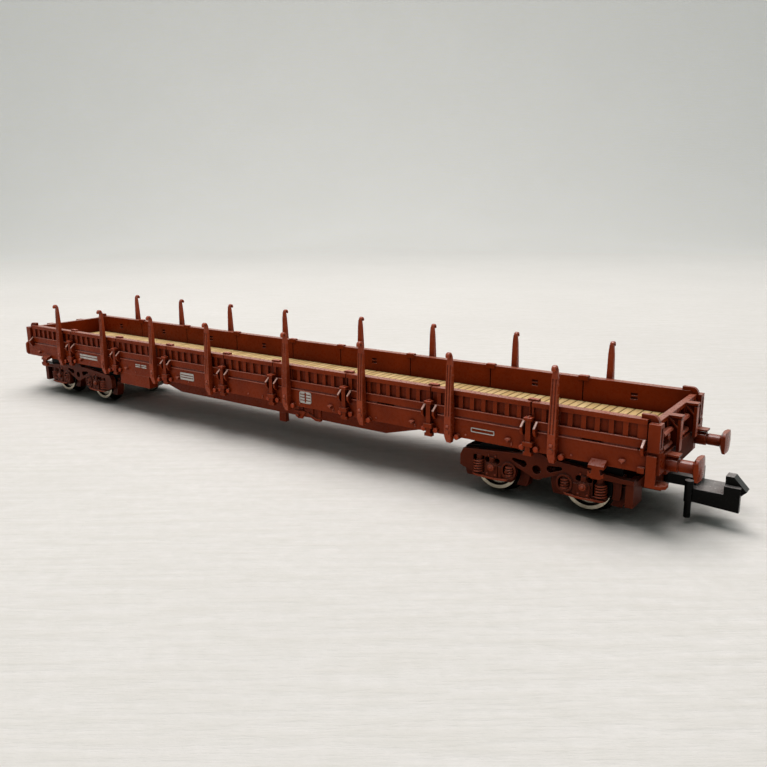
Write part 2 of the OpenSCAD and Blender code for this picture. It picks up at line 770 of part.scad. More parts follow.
module side_wall() {
    foot_out = half_w - wall_gap_d;
    difference() {
        union() {
            block([-wall_half, wall_in, sill_top], [wall_half, foot_out, lower_rail_z]);
            block([-wall_half, wall_in, lower_rail_z], [wall_half, half_w, rib_z]);
            translate([0, 0, rib_z]) linear_extrude(top_rail_z - rib_z) rib_plan();
            block([-wall_half, wall_in, top_rail_z], [wall_half, half_w, wall_top]);
        }
        for (x = joint_xs) {
            block([x - joint_groove / 2, wall_in - fit_gap, sill_top - fit_gap],
                  [x + joint_groove / 2, wall_in + joint_groove_d, wall_top + fit_gap]);
            block([x - joint_groove / 2, half_w - rib_depth - joint_groove_d, rib_z],
                  [x + joint_groove / 2, half_w + fit_gap, wall_top + fit_gap]);
        }
        for (x = panel_xs) lashing_slots(x);
        both_ends()
            block([wall_half - joint_groove, half_w - rib_depth - joint_groove_d, sill_top - fit_gap],
                  [wall_half + fit_gap, half_w + fit_gap, wall_top + fit_gap]);
    }
    for (x = joint_xs) {
        block([x - joint_cap_len / 2, wall_in - joint_cap_t, wall_top],
              [x + joint_cap_len / 2, wall_in + wall_t / 2, wall_top + joint_cap_h]);
        block([x - joint_cap_len / 2, wall_in - joint_cap_t, wall_top - joint_cap_drop],
              [x + joint_cap_len / 2, wall_in, wall_top]);
        hinge_lug(x - lug_offset);
        hinge_lug(x + lug_offset);
    }
    both_ends() hinge_lug(wall_half - lug_t - fit_gap);
}

module side_wall_far() {
    color(red) side_wall();
}

module side_wall_near() {
    color(red) half_turn() side_wall();
}

// Panel posts, with the round bolt heads of the hinges at their feet

module panel_post(x) {
    band = 0.5;
    cap_z = sill_top + post_rise;
    band_z = sill_z + sill_h / 2;
    proud = post_out + bolt_h / 2;
    nub = post_cap_h / 2;
    translate([x, half_w, 0]) {
        block([-post_w / 2, 0, sill_z], [post_w / 2, post_out, cap_z]);
        block([-post_cap_w / 2, 0, cap_z], [post_cap_w / 2, proud, cap_z + post_cap_h]);
        block([-nub, 0, cap_z + post_cap_h], [nub, post_out, cap_z + post_cap_h + nub]);
        block([-post_w, 0, band_z - band], [post_w, proud, band_z]);
        block([-post_cap_w / 2, 0, sill_z - post_drop], [post_cap_w / 2, post_out, sill_z]);
        for (s = [-1, 1])
            translate([s * (post_cap_w / 2 + bolt_r), 0, sill_z + bolt_r + fit_gap])
                bar_y(bolt_r, 0, bolt_h);
    }
}

module panel_posts_far() {
    color(red) for (x = joint_xs) panel_post(x);
}

module panel_posts_near() {
    color(red) half_turn() for (x = joint_xs) panel_post(x);
}

// Stakes: a tapered post with a grooved face, a bolt at its foot and an outward crook at its top

// Depth of a stake's face at a height between the lower rail and the crook
function stake_face(z) =
    stake_foot_d + (stake_lean + stake_top_d - stake_foot_d) * (z - lower_rail_z) / (crook_z - lower_rail_z);

module stake_side() {
    tip = sill_z - stake_drop;
    polygon([
        [0, lower_rail_z], [0, tip], [stake_foot_d * 2 / 3, tip],
        [stake_foot_d, sill_z + stake_drop / 2], [stake_foot_d, lower_rail_z],
        [stake_lean + stake_top_d, crook_z], [stake_lean, crook_z]
    ]);
}

// Half of the stake seen from the front
module stake_front() {
    tip = sill_z - stake_drop;
    polygon([
        [0, crook_z], [0, tip], [stake_tip_w / 2, tip], [stake_w / 2, sill_z], [stake_w / 2, lower_rail_z],
        [stake_w / 4 + stake_top_w / 4, crook_z - stake_neck], [stake_top_w / 2, crook_z]
    ]);
}

module stake_groove_side() {
    top = crook_z - stake_neck;
    low = lower_rail_z;
    polygon([
        [stake_face(top) - stake_groove_d, top], [stake_foot_d - stake_groove_d, low],
        [stake_foot_d + stake_groove_d, low], [stake_face(top) + stake_groove_d, top]
    ]);
}

// A flat bar with round edges, bent outwards and down
module crook() {
    flat = stake_top_w - stake_top_d;
    translate([0, stake_lean + stake_top_d / 2 + crook_r, crook_z]) rotate([0, 90, 0])
        rotate([0, 0, crook_tip]) {
            rotate_extrude(angle = 270 - crook_tip) translate([crook_r, 0]) {
                square([stake_top_d, flat], center = true);
                for (s = [-1, 1]) translate([0, s * flat / 2]) circle(d = stake_top_d);
            }
            translate([crook_r, 0, 0]) {
                cylinder(d = stake_top_d + 2 * press_gap, h = flat, center = true);
                for (s = [-1, 1])
                    translate([0, 0, s * flat / 2]) sphere(d = stake_top_d + 2 * press_gap);
            }
        }
}

module stake_at(x) {
    bolt_z = sill_z + stake_drop;
    color(red) translate([x, half_w, 0]) {
        difference() {
            intersection() {
                standing_yz(-stake_w, 2 * stake_w) stake_side();
                standing_xz(-stake_w, 3 * stake_w) {
                    stake_front();
                    mirror([1, 0]) stake_front();
                }
            }
            for (s = [-1, 1])
                translate([s * stake_w / 5 - stake_groove / 2, 0, 0])
                    standing_yz(0, stake_groove) stake_groove_side();
        }
        translate([0, 0, bolt_z]) bar_y(stake_bolt_r, stake_foot_d / 2, stake_foot_d + stake_bolt_r / 2);
        crook();
    }
}

// Ends

module end_wall_right() {
    color(red) end_wall();
}

module end_wall_left() {
    color(red) half_turn() end_wall();
}

module end_wall() {
    rail = 0.45;
    mid_z = (sill_top + end_top) / 2;
    side_y = wall_in - fit_gap;
    bay_in = stanchion_y - stanchion_w / 2;
    bay_out = stanchion_y + stanchion_w / 2;
    bays = [[-side_y, -bay_out], [-bay_in, bay_in], [bay_out, side_y]];
    difference() {
        block([wall_half, -side_y, sill_top], [end_out, side_y, end_top]);
        for (bay = bays, z = [sill_top + rail, mid_z + rail / 2])
            block([end_out - end_hollow, bay[0] + rail, z],
                  [end_out + fit_gap, bay[1] - rail, z + mid_z - sill_top - rail * 3 / 2]);
    }
    both_hands() {
        stanchion();
        translate([end_out - fit_gap, side_y - 2 * stanchion_w, mid_z - rail]) rotate([0, 90, 0])
            cylinder(r = end_knob_r, h = end_knob_out + fit_gap);
    }
}

// An upright of I section, with a cap and a slanting stay across its web
module stanchion() {
    cap_t = 0.25;
    cap_gap = 0.15;
    out = end_out + stanchion_out;
    flange_x = out - stanchion_web;
    cap_z = end_top - cap_t;
    half = stanchion_w / 2;
    translate([0, stanchion_y, 0]) {
        block([end_out, -stanchion_web / 2, sill_top], [out, stanchion_web / 2, cap_z]);
        block([end_out + 2 * fit_gap, -stanchion_web / 2, sill_top - headstock_low + fit_gap],
              [out, stanchion_web / 2, sill_top]);
        block([flange_x, -half, sill_top - stanchion_w], [out, half, cap_z - cap_gap]);
        block([end_out, -half - fit_gap, cap_z], [out + 2 * fit_gap, half + fit_gap, end_top]);
        standing_xz(-half, stanchion_w)
            polygon([
                [end_out, cap_z], [end_out, cap_z - cap_t],
                [flange_x, cap_z - stanchion_out], [flange_x, end_top - stanchion_out]
            ]);
    }
}

module corner_post() {
    x0 = wall_half + fit_gap;
    x1 = x0 + corner_l;
    y0 = wall_in + fit_gap;
    y1 = half_w + corner_out;
    slot = 0.4;
    difference() {
        block([x0, y0, sill_top], [x1, y1, end_top]);
        block([x1 - slot, y0 + slot, sill_top + slot], [x1 + fit_gap, y1 - slot, end_top - slot]);
    }
    // Latch that bends over the end of the drop side
    translate([x1 - slot - latch_r, 0, end_top])
        standing_xz(y0, wall_t / 2)
            intersection() {
                circle(r = latch_r);
                square(latch_r);
            }
    block([x0 - latch_reach, y0, wall_top], [x1 - slot - latch_r, y0 + wall_t / 2, wall_top + latch_t]);
    block([x0, y0, end_top], [x1 - slot - latch_r, y0 + wall_t / 2, wall_top]);
}

module corner_posts() {
    color(red) both_hands() both_ends() corner_post();
}

module buffer_stem() {
    rotate([0, 90, 0]) rotate_extrude()
        polygon([
            [0, 0], [sleeve_d / 2, 0], [sleeve_d / 2, sleeve_len - fit_gap],
            [plunger_d / 2 - fit_gap, sleeve_len], [plunger_d / 2 - fit_gap, sleeve_len + 2 * fit_gap],
            [plunger_d / 2, sleeve_len + 3 * fit_gap], [plunger_d / 2, buffer_len - buffer_head_t],
            [0, buffer_len - buffer_head_t]
        ]);
}

// The head is a thick disc, cut flat on all four sides, with a cone behind it and a domed face
module buffer_head() {
    cone = 0.45;
    dome = 0.12;
    back = buffer_len - buffer_head_t;
    intersection() {
        rotate([0, 90, 0]) rotate_extrude()
            polygon([
                [0, back - cone], [plunger_d / 2, back - cone], [buffer_head_d / 2, back],
                [buffer_head_d / 2, buffer_len - dome], [buffer_head_d / 4, buffer_len - dome / 4],
                [0, buffer_len]
            ]);
        block([0, -buffer_head_w / 2, -buffer_head_h / 2],
              [buffer_len + fit_gap, buffer_head_w / 2, buffer_head_h / 2]);
    }
}

module buffer() {
    color(red) translate([headstock_out, 0, buffer_z]) {
        buffer_stem();
        buffer_head();
    }
}

module buffer_at(end, side) {
    rotate([0, 0, end * 180]) translate([0, (end + side == 1 ? 1 : -1) * buffer_spacing / 2, 0]) buffer();
}

// Fittings on the sills

// The step hangs at one corner of each side
module shunter_step() {
    hang_w = 1;
    x0 = wall_half + fit_gap;
    tread_z = sill_z - step_drop;
    face = half_w + step_t;
    block([x0, half_w, tread_z], [x0 + hang_w, face, sill_top - step_t]);
    translate([0, 0, tread_z]) linear_extrude(step_t)
        polygon([
            [x0, face], [x0 + step_len - step_w / 4, face], [x0 + step_len, face - step_w / 4],
            [x0 + step_len, face - step_w * 3 / 4], [x0 + step_len - step_w / 4, face - step_w],
            [x0, face - step_w]
        ]);
}

module shunter_steps() {
    color(red) both_sides() mirror([1, 0, 0]) shunter_step();
}

// A sloping roof over a stem, with a hook turned up at each side of its foot
module tow_hook(x) {
    hook_t = 0.45;
    tip = sill_z - tow_drop;
    roof_z = sill_z + sill_h / 4;
    translate([x, half_w, 0]) {
        standing_yz(-tow_w / 2, tow_w)
            polygon([
                [0, roof_z], [0, sill_z], [tow_out - hook_t, sill_z - hook_t / 2],
                [tow_out, sill_z - hook_t / 2], [tow_out, sill_z + hook_t / 4]
            ]);
        standing_xz(tow_out - hook_t, hook_t)
            polygon([
                [-tow_w / 4, sill_z], [-tow_w / 4, tip + 2 * hook_t], [-tow_w / 3, tip + hook_t],
                [-tow_w / 2, tip + hook_t * 3 / 2], [-tow_w / 2, tip + hook_t / 2], [-tow_w / 4, tip],
                [tow_w / 4, tip], [tow_w / 2, tip + hook_t / 2], [tow_w / 2, tip + hook_t * 3 / 2],
                [tow_w / 3, tip + hook_t], [tow_w / 4, tip + 2 * hook_t], [tow_w / 4, sill_z]
            ]);
    }
}

module tow_hooks() {
    color(red) both_sides() {
        tow_hook(joints_half[joint_count - 1] + tow_offset);
        tow_hook(-joints_half[joint_count - 1] - tow_offset);
    }
}

// A three-cornered plate with a knob, on a strip behind it, drawn from the sill's underside
module lever_plate(t) {
    knob_out = 0.3;
    strip = lever_w / 3;
    strip_h = lever_drop * 2 / 3;
    shoulder = -lever_drop * 2 / 5;
    translate([-strip / 2, 0, -strip_h]) cube([strip, t, strip_h]);
    standing_xz(t, t)
        polygon([
            [-lever_w / 2, shoulder], [-strip / 2, -lever_drop], [strip / 2, -lever_drop],
            [lever_w / 2, shoulder]
        ]);
    translate([-strip / 3, 0, -lever_drop * 3 / 4]) bar_y(strip / 3, t, 2 * t + knob_out);
}

// A slanting handle with a round grip, carried by two hangers
module lever_handle(t) {
    bar = 0.4;
    reach = 2;
    short = lever_drop * 2 / 3;
    grip = [lever_pitch - reach, -lever_drop * 3 / 5];
    foot = [lever_pitch - bar / 2, -lever_drop];
    standing_xz(0, t) {
        translate(foot) square([bar, lever_drop]);
        translate([grip[0] + bar, -short]) square([bar, short]);
    }
    standing_xz(t / 2, t) {
        polygon([
            [grip[0], grip[1] + bar / 2], [grip[0], grip[1] - bar / 2], [foot[0] - bar, foot[1]],
            [foot[0] + bar, foot[1]], [foot[0] + bar, foot[1] + bar], [foot[0] - bar, foot[1] + bar]
        ]);
        translate(grip) circle(r = bar * 3 / 5);
    }
}

module brake_levers() {
    plate_t = 0.3;
    beam_foot = floor_z - fish_depth;
    color(red) both_sides() mirror([1, 0, 0]) {
        translate([lever_x, half_w - sill_t, sill_z]) {
            lever_plate(plate_t);
            lever_handle(plate_t);
        }
        block([rod_hanger_x - rod_hanger_l / 2, fish_y - fish_t, beam_foot - rod_hanger_drop],
              [rod_hanger_x + rod_hanger_l / 2, fish_y, beam_foot]);
    }
}

module equipment_boxes() {
    color(red) both_sides() translate([box_x, 0, 0])
        block([-box_len / 2, half_w - box_w, sill_z - box_drop], [box_len / 2, half_w, sill_z]);
}

// Bogies, drawn about their pivot with the coupler towards +X

// Half of the side frame's outline: the outer end has an arm to the end beam, the inner one a nose
module frame_half_outline(outer) {
    top = axle_z + frame_rise;
    end_z = axle_z + frame_rise_end;
    foot = axle_z - frame_drop;
    loop_edge = loop_x - loop_w / 4;
    arm = [
        [frame_end, end_z], [beam_out, end_z], [beam_out, end_z - end_arm_t],
        [frame_end, end_z - end_arm_t], [spring_out, axle_z + window_rise]
    ];
    nose = [
        [frame_end - frame_bevel, end_z], [frame_end, end_z - 2 * frame_bevel],
        [frame_end, axle_z - frame_bevel / 2], [frame_end - frame_bevel, axle_z - frame_bevel],
        [spring_out + frame_bevel, axle_z - window_drop]
    ];
    polygon(concat(
        [[0, axle_z + hub_rise], [0, top], [hub_r, top]],
        outer ? arm : nose,
        [
            [spring_out, foot + frame_bevel / 2], [axle_x + axlebox_w / 2, foot],
            [loop_edge + frame_bevel / 2, foot], [loop_edge, foot + frame_bevel / 2],
            [loop_edge, axle_z + loop_rise], [strap_reach, axle_z + strap_rise],
            [hub_hole_r / 2, axle_z + hub_rise - hub_low_r + slot_out_r / 2]
        ]
    ));
}

// A slot beside the round middle that narrows away from it, with round ends
module frame_slot() {
    turn = atan2(slot_climb, slot_out - slot_in);
    reach = norm([slot_out - slot_in, slot_climb]);
    translate([slot_in, axle_z + slot_rise]) rotate(turn) {
        circle(r = slot_in_r);
        polygon([[0, -slot_in_r], [reach, -slot_out_r], [reach, slot_out_r], [0, slot_in_r]]);
        translate([reach, 0]) circle(r = slot_out_r);
    }
}

// An upright loop with round ends, of the given half width
module loop_outline(r) {
    inner_r = loop_w / 2 - loop_t;
    low = axle_z - loop_drop + inner_r;
    high = axle_z + loop_rise - inner_r;
    translate([loop_x, 0]) {
        translate([0, low]) circle(r = r);
        translate([0, high]) circle(r = r);
        translate([-r, low]) square([2 * r, high - low]);
    }
}

// The outer spring's window is open at the arm's end
module frame_windows(outer) {
    low = axle_z - window_drop;
    open = outer ? fit_gap : 0;
    translate([spring_out - spring_window_w, low])
        square([spring_window_w + open, window_rise + window_drop]);
    for (s = [-1, 1])
        translate([axle_x + s * box_hole_x, axle_z + box_hole_rise]) circle(r = box_hole_r);
    loop_outline(loop_w / 2 - loop_t);
    frame_slot();
}

module frame_plate() {
    standing_xz(frame_in, side_frame_t)
        difference() {
            union() {
                frame_half_outline(true);
                mirror([1, 0]) frame_half_outline(false);
                translate([0, axle_z + hub_rise]) circle(r = hub_low_r);
                intersection() {
                    translate([0, axle_z + hub_rise]) circle(r = hub_r);
                    translate([-hub_r, axle_z + slot_rise]) square([2 * hub_r, hub_r]);
                }
            }
            translate([0, axle_z + hub_rise]) circle(r = hub_hole_r);
            frame_windows(true);
            mirror([1, 0]) frame_windows(false);
        }
}

// A moulded spring: a ribbed column under a plain cap, that fills its window from sill to top
module bogie_spring(x, drop, rise, cap) {
    low = axle_z - drop - fit_gap;
    high = axle_z + rise + fit_gap;
    turn = (high - cap - low) / spring_turns;
    groove = spring_r / 3;
    cap_r = spring_r - groove / 2;
    profile = [
        for (i = [0 : spring_turns - 1])
            each [
                [spring_r - groove, low + i * turn],
                [spring_r, low + i * turn + turn / 4],
                [spring_r, low + (i + 1) * turn - turn / 4]
            ]
    ];
    crown = [[spring_r - groove, high - cap], [cap_r, high - cap], [cap_r, high]];
    translate([x, frame_in + spring_r + fit_gap, 0]) rotate_extrude()
        polygon(concat([[0, low]], profile, crown, [[0, high]]));
}

// The strap that loops round the inner spring, and the bolt inside it
module damper_loop() {
    standing_xz(frame_out - side_frame_t / 2, side_frame_t / 2 + loop_out)
        difference() {
            loop_outline(loop_w / 2);
            loop_outline(loop_w / 2 - loop_t);
        }
    translate([loop_x + loop_bolt_r, 0, axle_z + loop_bolt_r / 2])
        bar_y(loop_bolt_r, frame_in + spring_r, frame_out + loop_out + loop_bolt_r);
}

// The axlebox: a horn with sloping shoulders, a rib beside it and a round cover
module axlebox() {
    face = frame_out + axlebox_out;
    half = axlebox_w / 2;
    neck = axlebox_rise + axlebox_out + axlebox_out / 2;
    rib_x = (loop_offset - loop_w / 2 + half) / 2;
    sides = [[horn_w / 2, neck], [half, axlebox_rise], [half, -axlebox_drop]];
    translate([axle_x, 0, axle_z]) {
        standing_xz(frame_in + fit_gap, face - frame_in - fit_gap)
            for (s = [-1, 1])
                polygon(concat(
                    [[0, -axlebox_drop], [0, window_rise], [s * horn_w / 2, window_rise]],
                    [for (p = sides) [s * p[0], p[1]]]
                ));
        block([-rib_x - axlebox_out, frame_in + fit_gap, -axlebox_drop - axlebox_out / 2],
              [-rib_x + axlebox_out, frame_out + axlebox_out / 2, axlebox_rise]);
        translate([0, 0, axlebox_cover_rise]) {
            bar_y(axlebox_cover_r, frame_out, face + axlebox_cover_h);
            bar_y(axlebox_cover_r / 2, frame_out, face + axlebox_cover_h * 3 / 2);
        }
    }
}

// A blind hole for the journal, with a cone for its point
module bearing_hole() {
    r = journal_d / 2 + run_gap;
    end = wheel_face + journal_len + run_gap;
    translate([axle_x, 0, axle_z]) {
        bar_y(r, frame_in - axle_play, end);
        translate([0, end, 0]) rotate([-90, 0, 0]) cylinder(r1 = r, r2 = run_gap, h = point_len);
    }
}

module side_frame() {
    difference() {
        union() {
            frame_plate();
            both_ends() {
                bogie_spring(axle_x + spring_offset, window_drop, window_rise, spring_cap);
                bogie_spring(loop_x, loop_drop, loop_rise, spring_cap / 2);
                damper_loop();
                axlebox();
            }
        }
        both_ends() bearing_hole();
    }
}

// Brake blocks stand at both sides of each wheel, in line with its tread
module brake_blocks() {
    inner_r = tread_d / 2 + brake_gap;
    outer_r = inner_r + brake_t;
    y0 = wheel_back + flange_t + brake_gap;
    y1 = wheel_face - fit_gap;
    hang_y = (y0 + y1) / 2;
    hang_z = axle_z + frame_rise_end - fit_gap;
    translate([axle_x, 0, axle_z])
        intersection() {
            difference() {
                bar_y(outer_r, y0, y1);
                bar_y(inner_r, y0 - fit_gap, y1 + fit_gap);
            }
            block([-2 * outer_r, y0 - fit_gap, -brake_drop], [2 * outer_r, y1 + fit_gap, brake_rise]);
        }
    // Hangers up and across to the side frame, and up to the bolster
    block([axle_x + outer_r - brake_t * 3 / 4, hang_y - hanger_w / 2, axle_z],
          [axle_x + outer_r - brake_t / 4, hang_y + hanger_w / 2, hang_z]);
    block([axle_x + outer_r - brake_t * 3 / 4, hang_y, hang_z - hanger_w],
          [axle_x + outer_r - brake_t / 4, frame_in + fit_gap, hang_z]);
    block([axle_x - outer_r + brake_t / 4, hang_y - hanger_w / 2, axle_z],
          [axle_x - outer_r + brake_t * 3 / 4, hang_y + hanger_w / 2, bolster_z + hanger_w]);
    block([0, hang_y - hanger_w / 2, bolster_z],
          [axle_x - outer_r + brake_t * 3 / 4, hang_y + hanger_w / 2, bolster_z + hanger_w]);
}

// The end beam stands at the coupler's end only: two blocks under the arms, and a bar between them
module end_beam() {
    low = axle_z - frame_drop;
    inset = 0.2;
    block_out = frame_out - inset;
    both_hands()
        block([frame_end + end_beam_gap, block_out - end_beam_w, low],
              [beam_out - fit_gap, block_out, low + end_beam_h]);
    block([frame_end + end_beam_gap + inset, -block_out + inset, low + end_beam_h / 2],
          [beam_out - inset, block_out - inset, low + end_beam_h - inset]);
}

module pocket_walls() {
    x0 = trunnion_x - pocket_back - pocket_t;
    x1 = trunnion_x + pocket_front;
    low = coupler_z - shank_h / 2 - fit_gap - 2 * pocket_t;
    high = coupler_z + shank_h / 2 + pocket_t + 2 * fit_gap;
    block([x0, -cheek_out, low], [x1, cheek_out, high]);
}

// The space in which the coupler's tail moves, and the round seats of its trunnions
module pocket_space() {
    x0 = trunnion_x - pocket_back;
    x1 = trunnion_x + pocket_front + fit_gap;
    rest = coupler_z - shank_h / 2 - fit_gap;
    high = coupler_z + shank_h;
    block([x0, -cheek_in, rest - pocket_t / 2], [trunnion_x + tail_w / 4, cheek_in, high]);
    block([x0, -cheek_in, rest], [x1, cheek_in, high]);
    translate([trunnion_x, 0, coupler_z])
        bar_y(trunnion_d / 2 + run_gap, -cheek_out - fit_gap, cheek_out + fit_gap);
}

module bogie_frame() {
    difference() {
        union() {
            both_hands() {
                side_frame();
                both_ends() brake_blocks();
            }
            block([-bolster_w / 2, -frame_in - fit_gap, bolster_z],
                  [bolster_w / 2, frame_in + fit_gap, bolster_top]);
            block([0, -spine_w / 2, bolster_z + bearing_gap],
                  [trunnion_x - pocket_back - pocket_t / 2, spine_w / 2, bolster_z + spine_h]);
            end_beam();
            pocket_walls();
        }
        translate([0, 0, bolster_z - fit_gap])
            cylinder(d = pivot_d + 2 * run_gap, h = bolster_h + 2 * fit_gap);
        pocket_space();
    }
}

module at_bogie(end) {
    rotate([0, 0, end * 180]) translate([bogie_x, 0, 0]) children();
}

module bogie_frame_at(end) {
    color(red) at_bogie(end) bogie_frame();
}

module bogie_pin_at(end) {
    color(steel) at_bogie(end) {
        translate([0, 0, bolster_z - bearing_gap - pivot_head_t])
            cylinder(d = pivot_head_d, h = pivot_head_t);
        translate([0, 0, bolster_z - bearing_gap])
            cylinder(d = pivot_d, h = ballast_z - fit_gap - bolster_z + bearing_gap);
    }
}

// Wheelsets: even numbers are the outer ones of each bogie, odd numbers the inner ones

module at_axle(i) {
    at_bogie(i < 2 ? 0 : 1) translate([i % 2 == 0 ? axle_x : -axle_x, 0, axle_z]) children();
}

module axle_at(i) {
    straight = wheel_face + journal_len;
    color(steel) at_axle(i) {
        bar_y(axle_d / 2, -wheel_face, wheel_face);
        both_hands() {
            bar_y(journal_d / 2, wheel_face, straight);
            translate([0, straight, 0]) rotate([-90, 0, 0])
                cylinder(r1 = journal_d / 2, r2 = run_gap / 2, h = point_len);
        }
    }
}

// Wheel with a coned tread, a rounded flange and a hollow in each face
module wheel() {
    bore = axle_d / 2 + press_gap;
    tread_r = tread_d / 2;
    rim_r = tread_r - rim_w;
    hub = axle_d / 2 + wheel_hub_t;
    back = wheel_back + wheel_dish;
    front = wheel_face - wheel_dish;
    hub_front = wheel_face - wheel_dish / 4;
    rotate([-90, 0, 0]) rotate_extrude()
        polygon([
            [bore, wheel_back], [hub, wheel_back], [hub, back], [rim_r, back], [rim_r, wheel_back],
            [flange_r - flange_t / 4, wheel_back], [flange_r, wheel_back + flange_t / 4],
            [flange_r, wheel_back + flange_t / 2], [tread_r + tread_coning, wheel_back + flange_t],
            [tread_r, wheel_back + flange_t + tread_coning], [tread_r - tread_coning, wheel_face],
            [rim_r, wheel_face], [rim_r - wheel_dish / 4, front],
            [hub, front], [hub, hub_front], [bore, hub_front]
        ]);
}

module wheel_at(i, side) {
    color(nickel) at_axle(i) rotate([0, 0, (side + (i < 2 ? 1 : 0)) % 2 * 180]) wheel();
}

// Couplers

// Side view of the hook: an arrow head with an upright back
module hook_outline() {
    back = head_len - hook_set;
    polygon([
        [0, -head_rear_drop], [0, -head_drop], [back, -head_drop],
        [head_len + nose_len - chin_drop, nose_rise - chin_drop], [head_len + nose_len, nose_rise],
        [back + hook_top, hook_rise], [back, hook_rise], [back, -head_rear_drop]
    ]);
}

// Side view of the catch: a wall that is taller at the front
module catch_outline() {
    step = head_len - catch_len;
    polygon([
        [0, -head_rear_drop], [0, -head_drop], [head_len, -head_drop - head_fall],
        [head_len, catch_rise], [step, catch_rise], [step, -head_rear_drop]
    ]);
}

// Rear view of the ear, with one corner cut
module ear_outline() {
    half = head_w / 2;
    polygon([
        [half - ear_w, -head_rear_drop], [half, -head_rear_drop], [half, ear_rise],
        [half - ear_w + ear_t, ear_rise], [half - ear_w, ear_rise - ear_t]
    ]);
}

// Coupler, drawn from its trunnions: the catch is on its right hand, with the hook beside it
module coupler() {
    half = head_w / 2;
    hook_y = catch_w - half;
    bar = pin_head_d / 2;
    pin_foot = rail_z - coupler_z + 2 * run_gap;
    translate([trunnion_x, 0, coupler_z]) {
        block([-tail_back, -tail_w / 2, -shank_h / 2], [shank_h / 2, tail_w / 2, shank_h / 2]);
        bar_y(trunnion_d / 2, -cheek_out, cheek_out);
        block([0, -shank_w / 2, -shank_h / 2], [shank_len, shank_w / 2, shank_h / 2]);
        translate([shank_len, 0, 0]) {
            standing_xz(-half, catch_w) catch_outline();
            standing_xz(hook_y, hook_w) hook_outline();
            block([0, hook_y + hook_w, -head_drop], [head_len - catch_len, half, -head_rear_drop]);
            // Cross bar behind the head, with an upright ear on the left and a pin on the right
            block([-bar, -half, -head_drop], [0, half, -head_rear_drop]);
            standing_yz(-ear_t / 2, ear_t) ear_outline();
            translate([-bar, -half, 0]) {
                translate([0, 0, -head_drop]) cylinder(d = pin_head_d, h = head_drop + shank_h / 2);
                translate([0, 0, pin_foot]) cylinder(d = pin_d, h = -head_drop - pin_foot);
            }
        }
    }
}

module coupler_at(end) {
    color(black) at_bogie(end) coupler();
}

module coupler_spring_at(end) {
    color(steel) at_bogie(end) translate([trunnion_x - pocket_back, 0, coupler_z]) rotate([0, 90, 0])
        difference() {
            cylinder(d = coupler_spring_d, h = pocket_back - tail_back - spring_room);
            translate([0, 0, -fit_gap]) cylinder(d = coupler_spring_d - 2 * spring_wire, h = pocket_back);
        }
}

module pocket_cover_at(end) {
    x0 = trunnion_x - pocket_back - pocket_t;
    x1 = trunnion_x + pocket_front;
    z = coupler_z + shank_h / 2 + pocket_t + 2 * fit_gap;
    color(red) at_bogie(end) block([x0, -cheek_out, z], [x1, cheek_out, z + pocket_t]);
}

underframe();
deck_boards();
ballast_plate();
side_wall_near();
side_wall_far();
end_wall_right();
end_wall_left();
corner_posts();
panel_posts_near();
panel_posts_far();
shunter_steps();
tow_hooks();
brake_levers();
equipment_boxes();
for (i = [1 : stakes_a_side]) {
    half_turn() stake_at(-stake_xs[i - 1]);
    stake_at(stake_xs[i - 1]);
}
for (end = [0, 1]) {
    bogie_frame_at(end);
    bogie_pin_at(end);
    coupler_at(end);
    coupler_spring_at(end);
    pocket_cover_at(end);
    for (side = [0, 1])
        buffer_at(end, side);
}
for (i = [0 : 3]) {
    axle_at(i);
    for (side = [0, 1])
        wheel_at(i, side);
}
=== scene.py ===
import json
import math

import bmesh
import bpy
from mathutils import Matrix, Vector


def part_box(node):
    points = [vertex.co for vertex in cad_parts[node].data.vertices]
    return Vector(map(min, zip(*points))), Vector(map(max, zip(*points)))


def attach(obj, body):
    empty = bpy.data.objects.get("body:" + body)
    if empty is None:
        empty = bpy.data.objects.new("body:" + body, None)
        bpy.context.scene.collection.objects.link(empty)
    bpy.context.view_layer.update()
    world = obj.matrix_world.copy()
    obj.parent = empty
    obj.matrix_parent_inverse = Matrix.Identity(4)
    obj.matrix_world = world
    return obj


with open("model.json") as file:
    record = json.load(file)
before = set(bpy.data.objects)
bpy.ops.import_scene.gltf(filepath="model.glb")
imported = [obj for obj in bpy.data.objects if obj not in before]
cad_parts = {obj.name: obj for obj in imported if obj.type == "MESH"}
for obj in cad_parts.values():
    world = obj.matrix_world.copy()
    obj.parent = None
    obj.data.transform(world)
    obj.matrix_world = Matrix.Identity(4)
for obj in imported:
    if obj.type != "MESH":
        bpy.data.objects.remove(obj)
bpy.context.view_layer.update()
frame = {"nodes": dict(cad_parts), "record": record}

# Sizes are in millimetres and are turned to metres where a mesh is made.
MM = 0.001
ENDS = {"right": 1, "left": -1}
SIDES = {"near": -1, "far": 1}
AXLES = ("outer", "inner")


# Node helpers

def new_material(name):
    """A material with an empty tree, and its shader already joined to the output."""
    made = bpy.data.materials.new(name)
    made.use_nodes = True
    tree = made.node_tree
    tree.nodes.clear()
    output = tree.nodes.new("ShaderNodeOutputMaterial")
    shader = tree.nodes.new("ShaderNodeBsdfPrincipled")
    tree.links.new(shader.outputs["BSDF"], output.inputs["Surface"])
    return made, tree, shader


def add(tree, kind, inputs=None, **settings):
    """A node with its settings; each input is a value or another node's output."""
    made = tree.nodes.new("ShaderNode" + kind)
    for key, value in settings.items():
        setattr(made, key, value)
    for key, value in (inputs or {}).items():
        if isinstance(value, bpy.types.NodeSocket):
            tree.links.new(value, made.inputs[key])
        else:
            made.inputs[key].default_value = value
    return made


def join(tree, shader, **inputs):
    for key, value in inputs.items():
        tree.links.new(value, shader.inputs[key.replace("_", " ")])


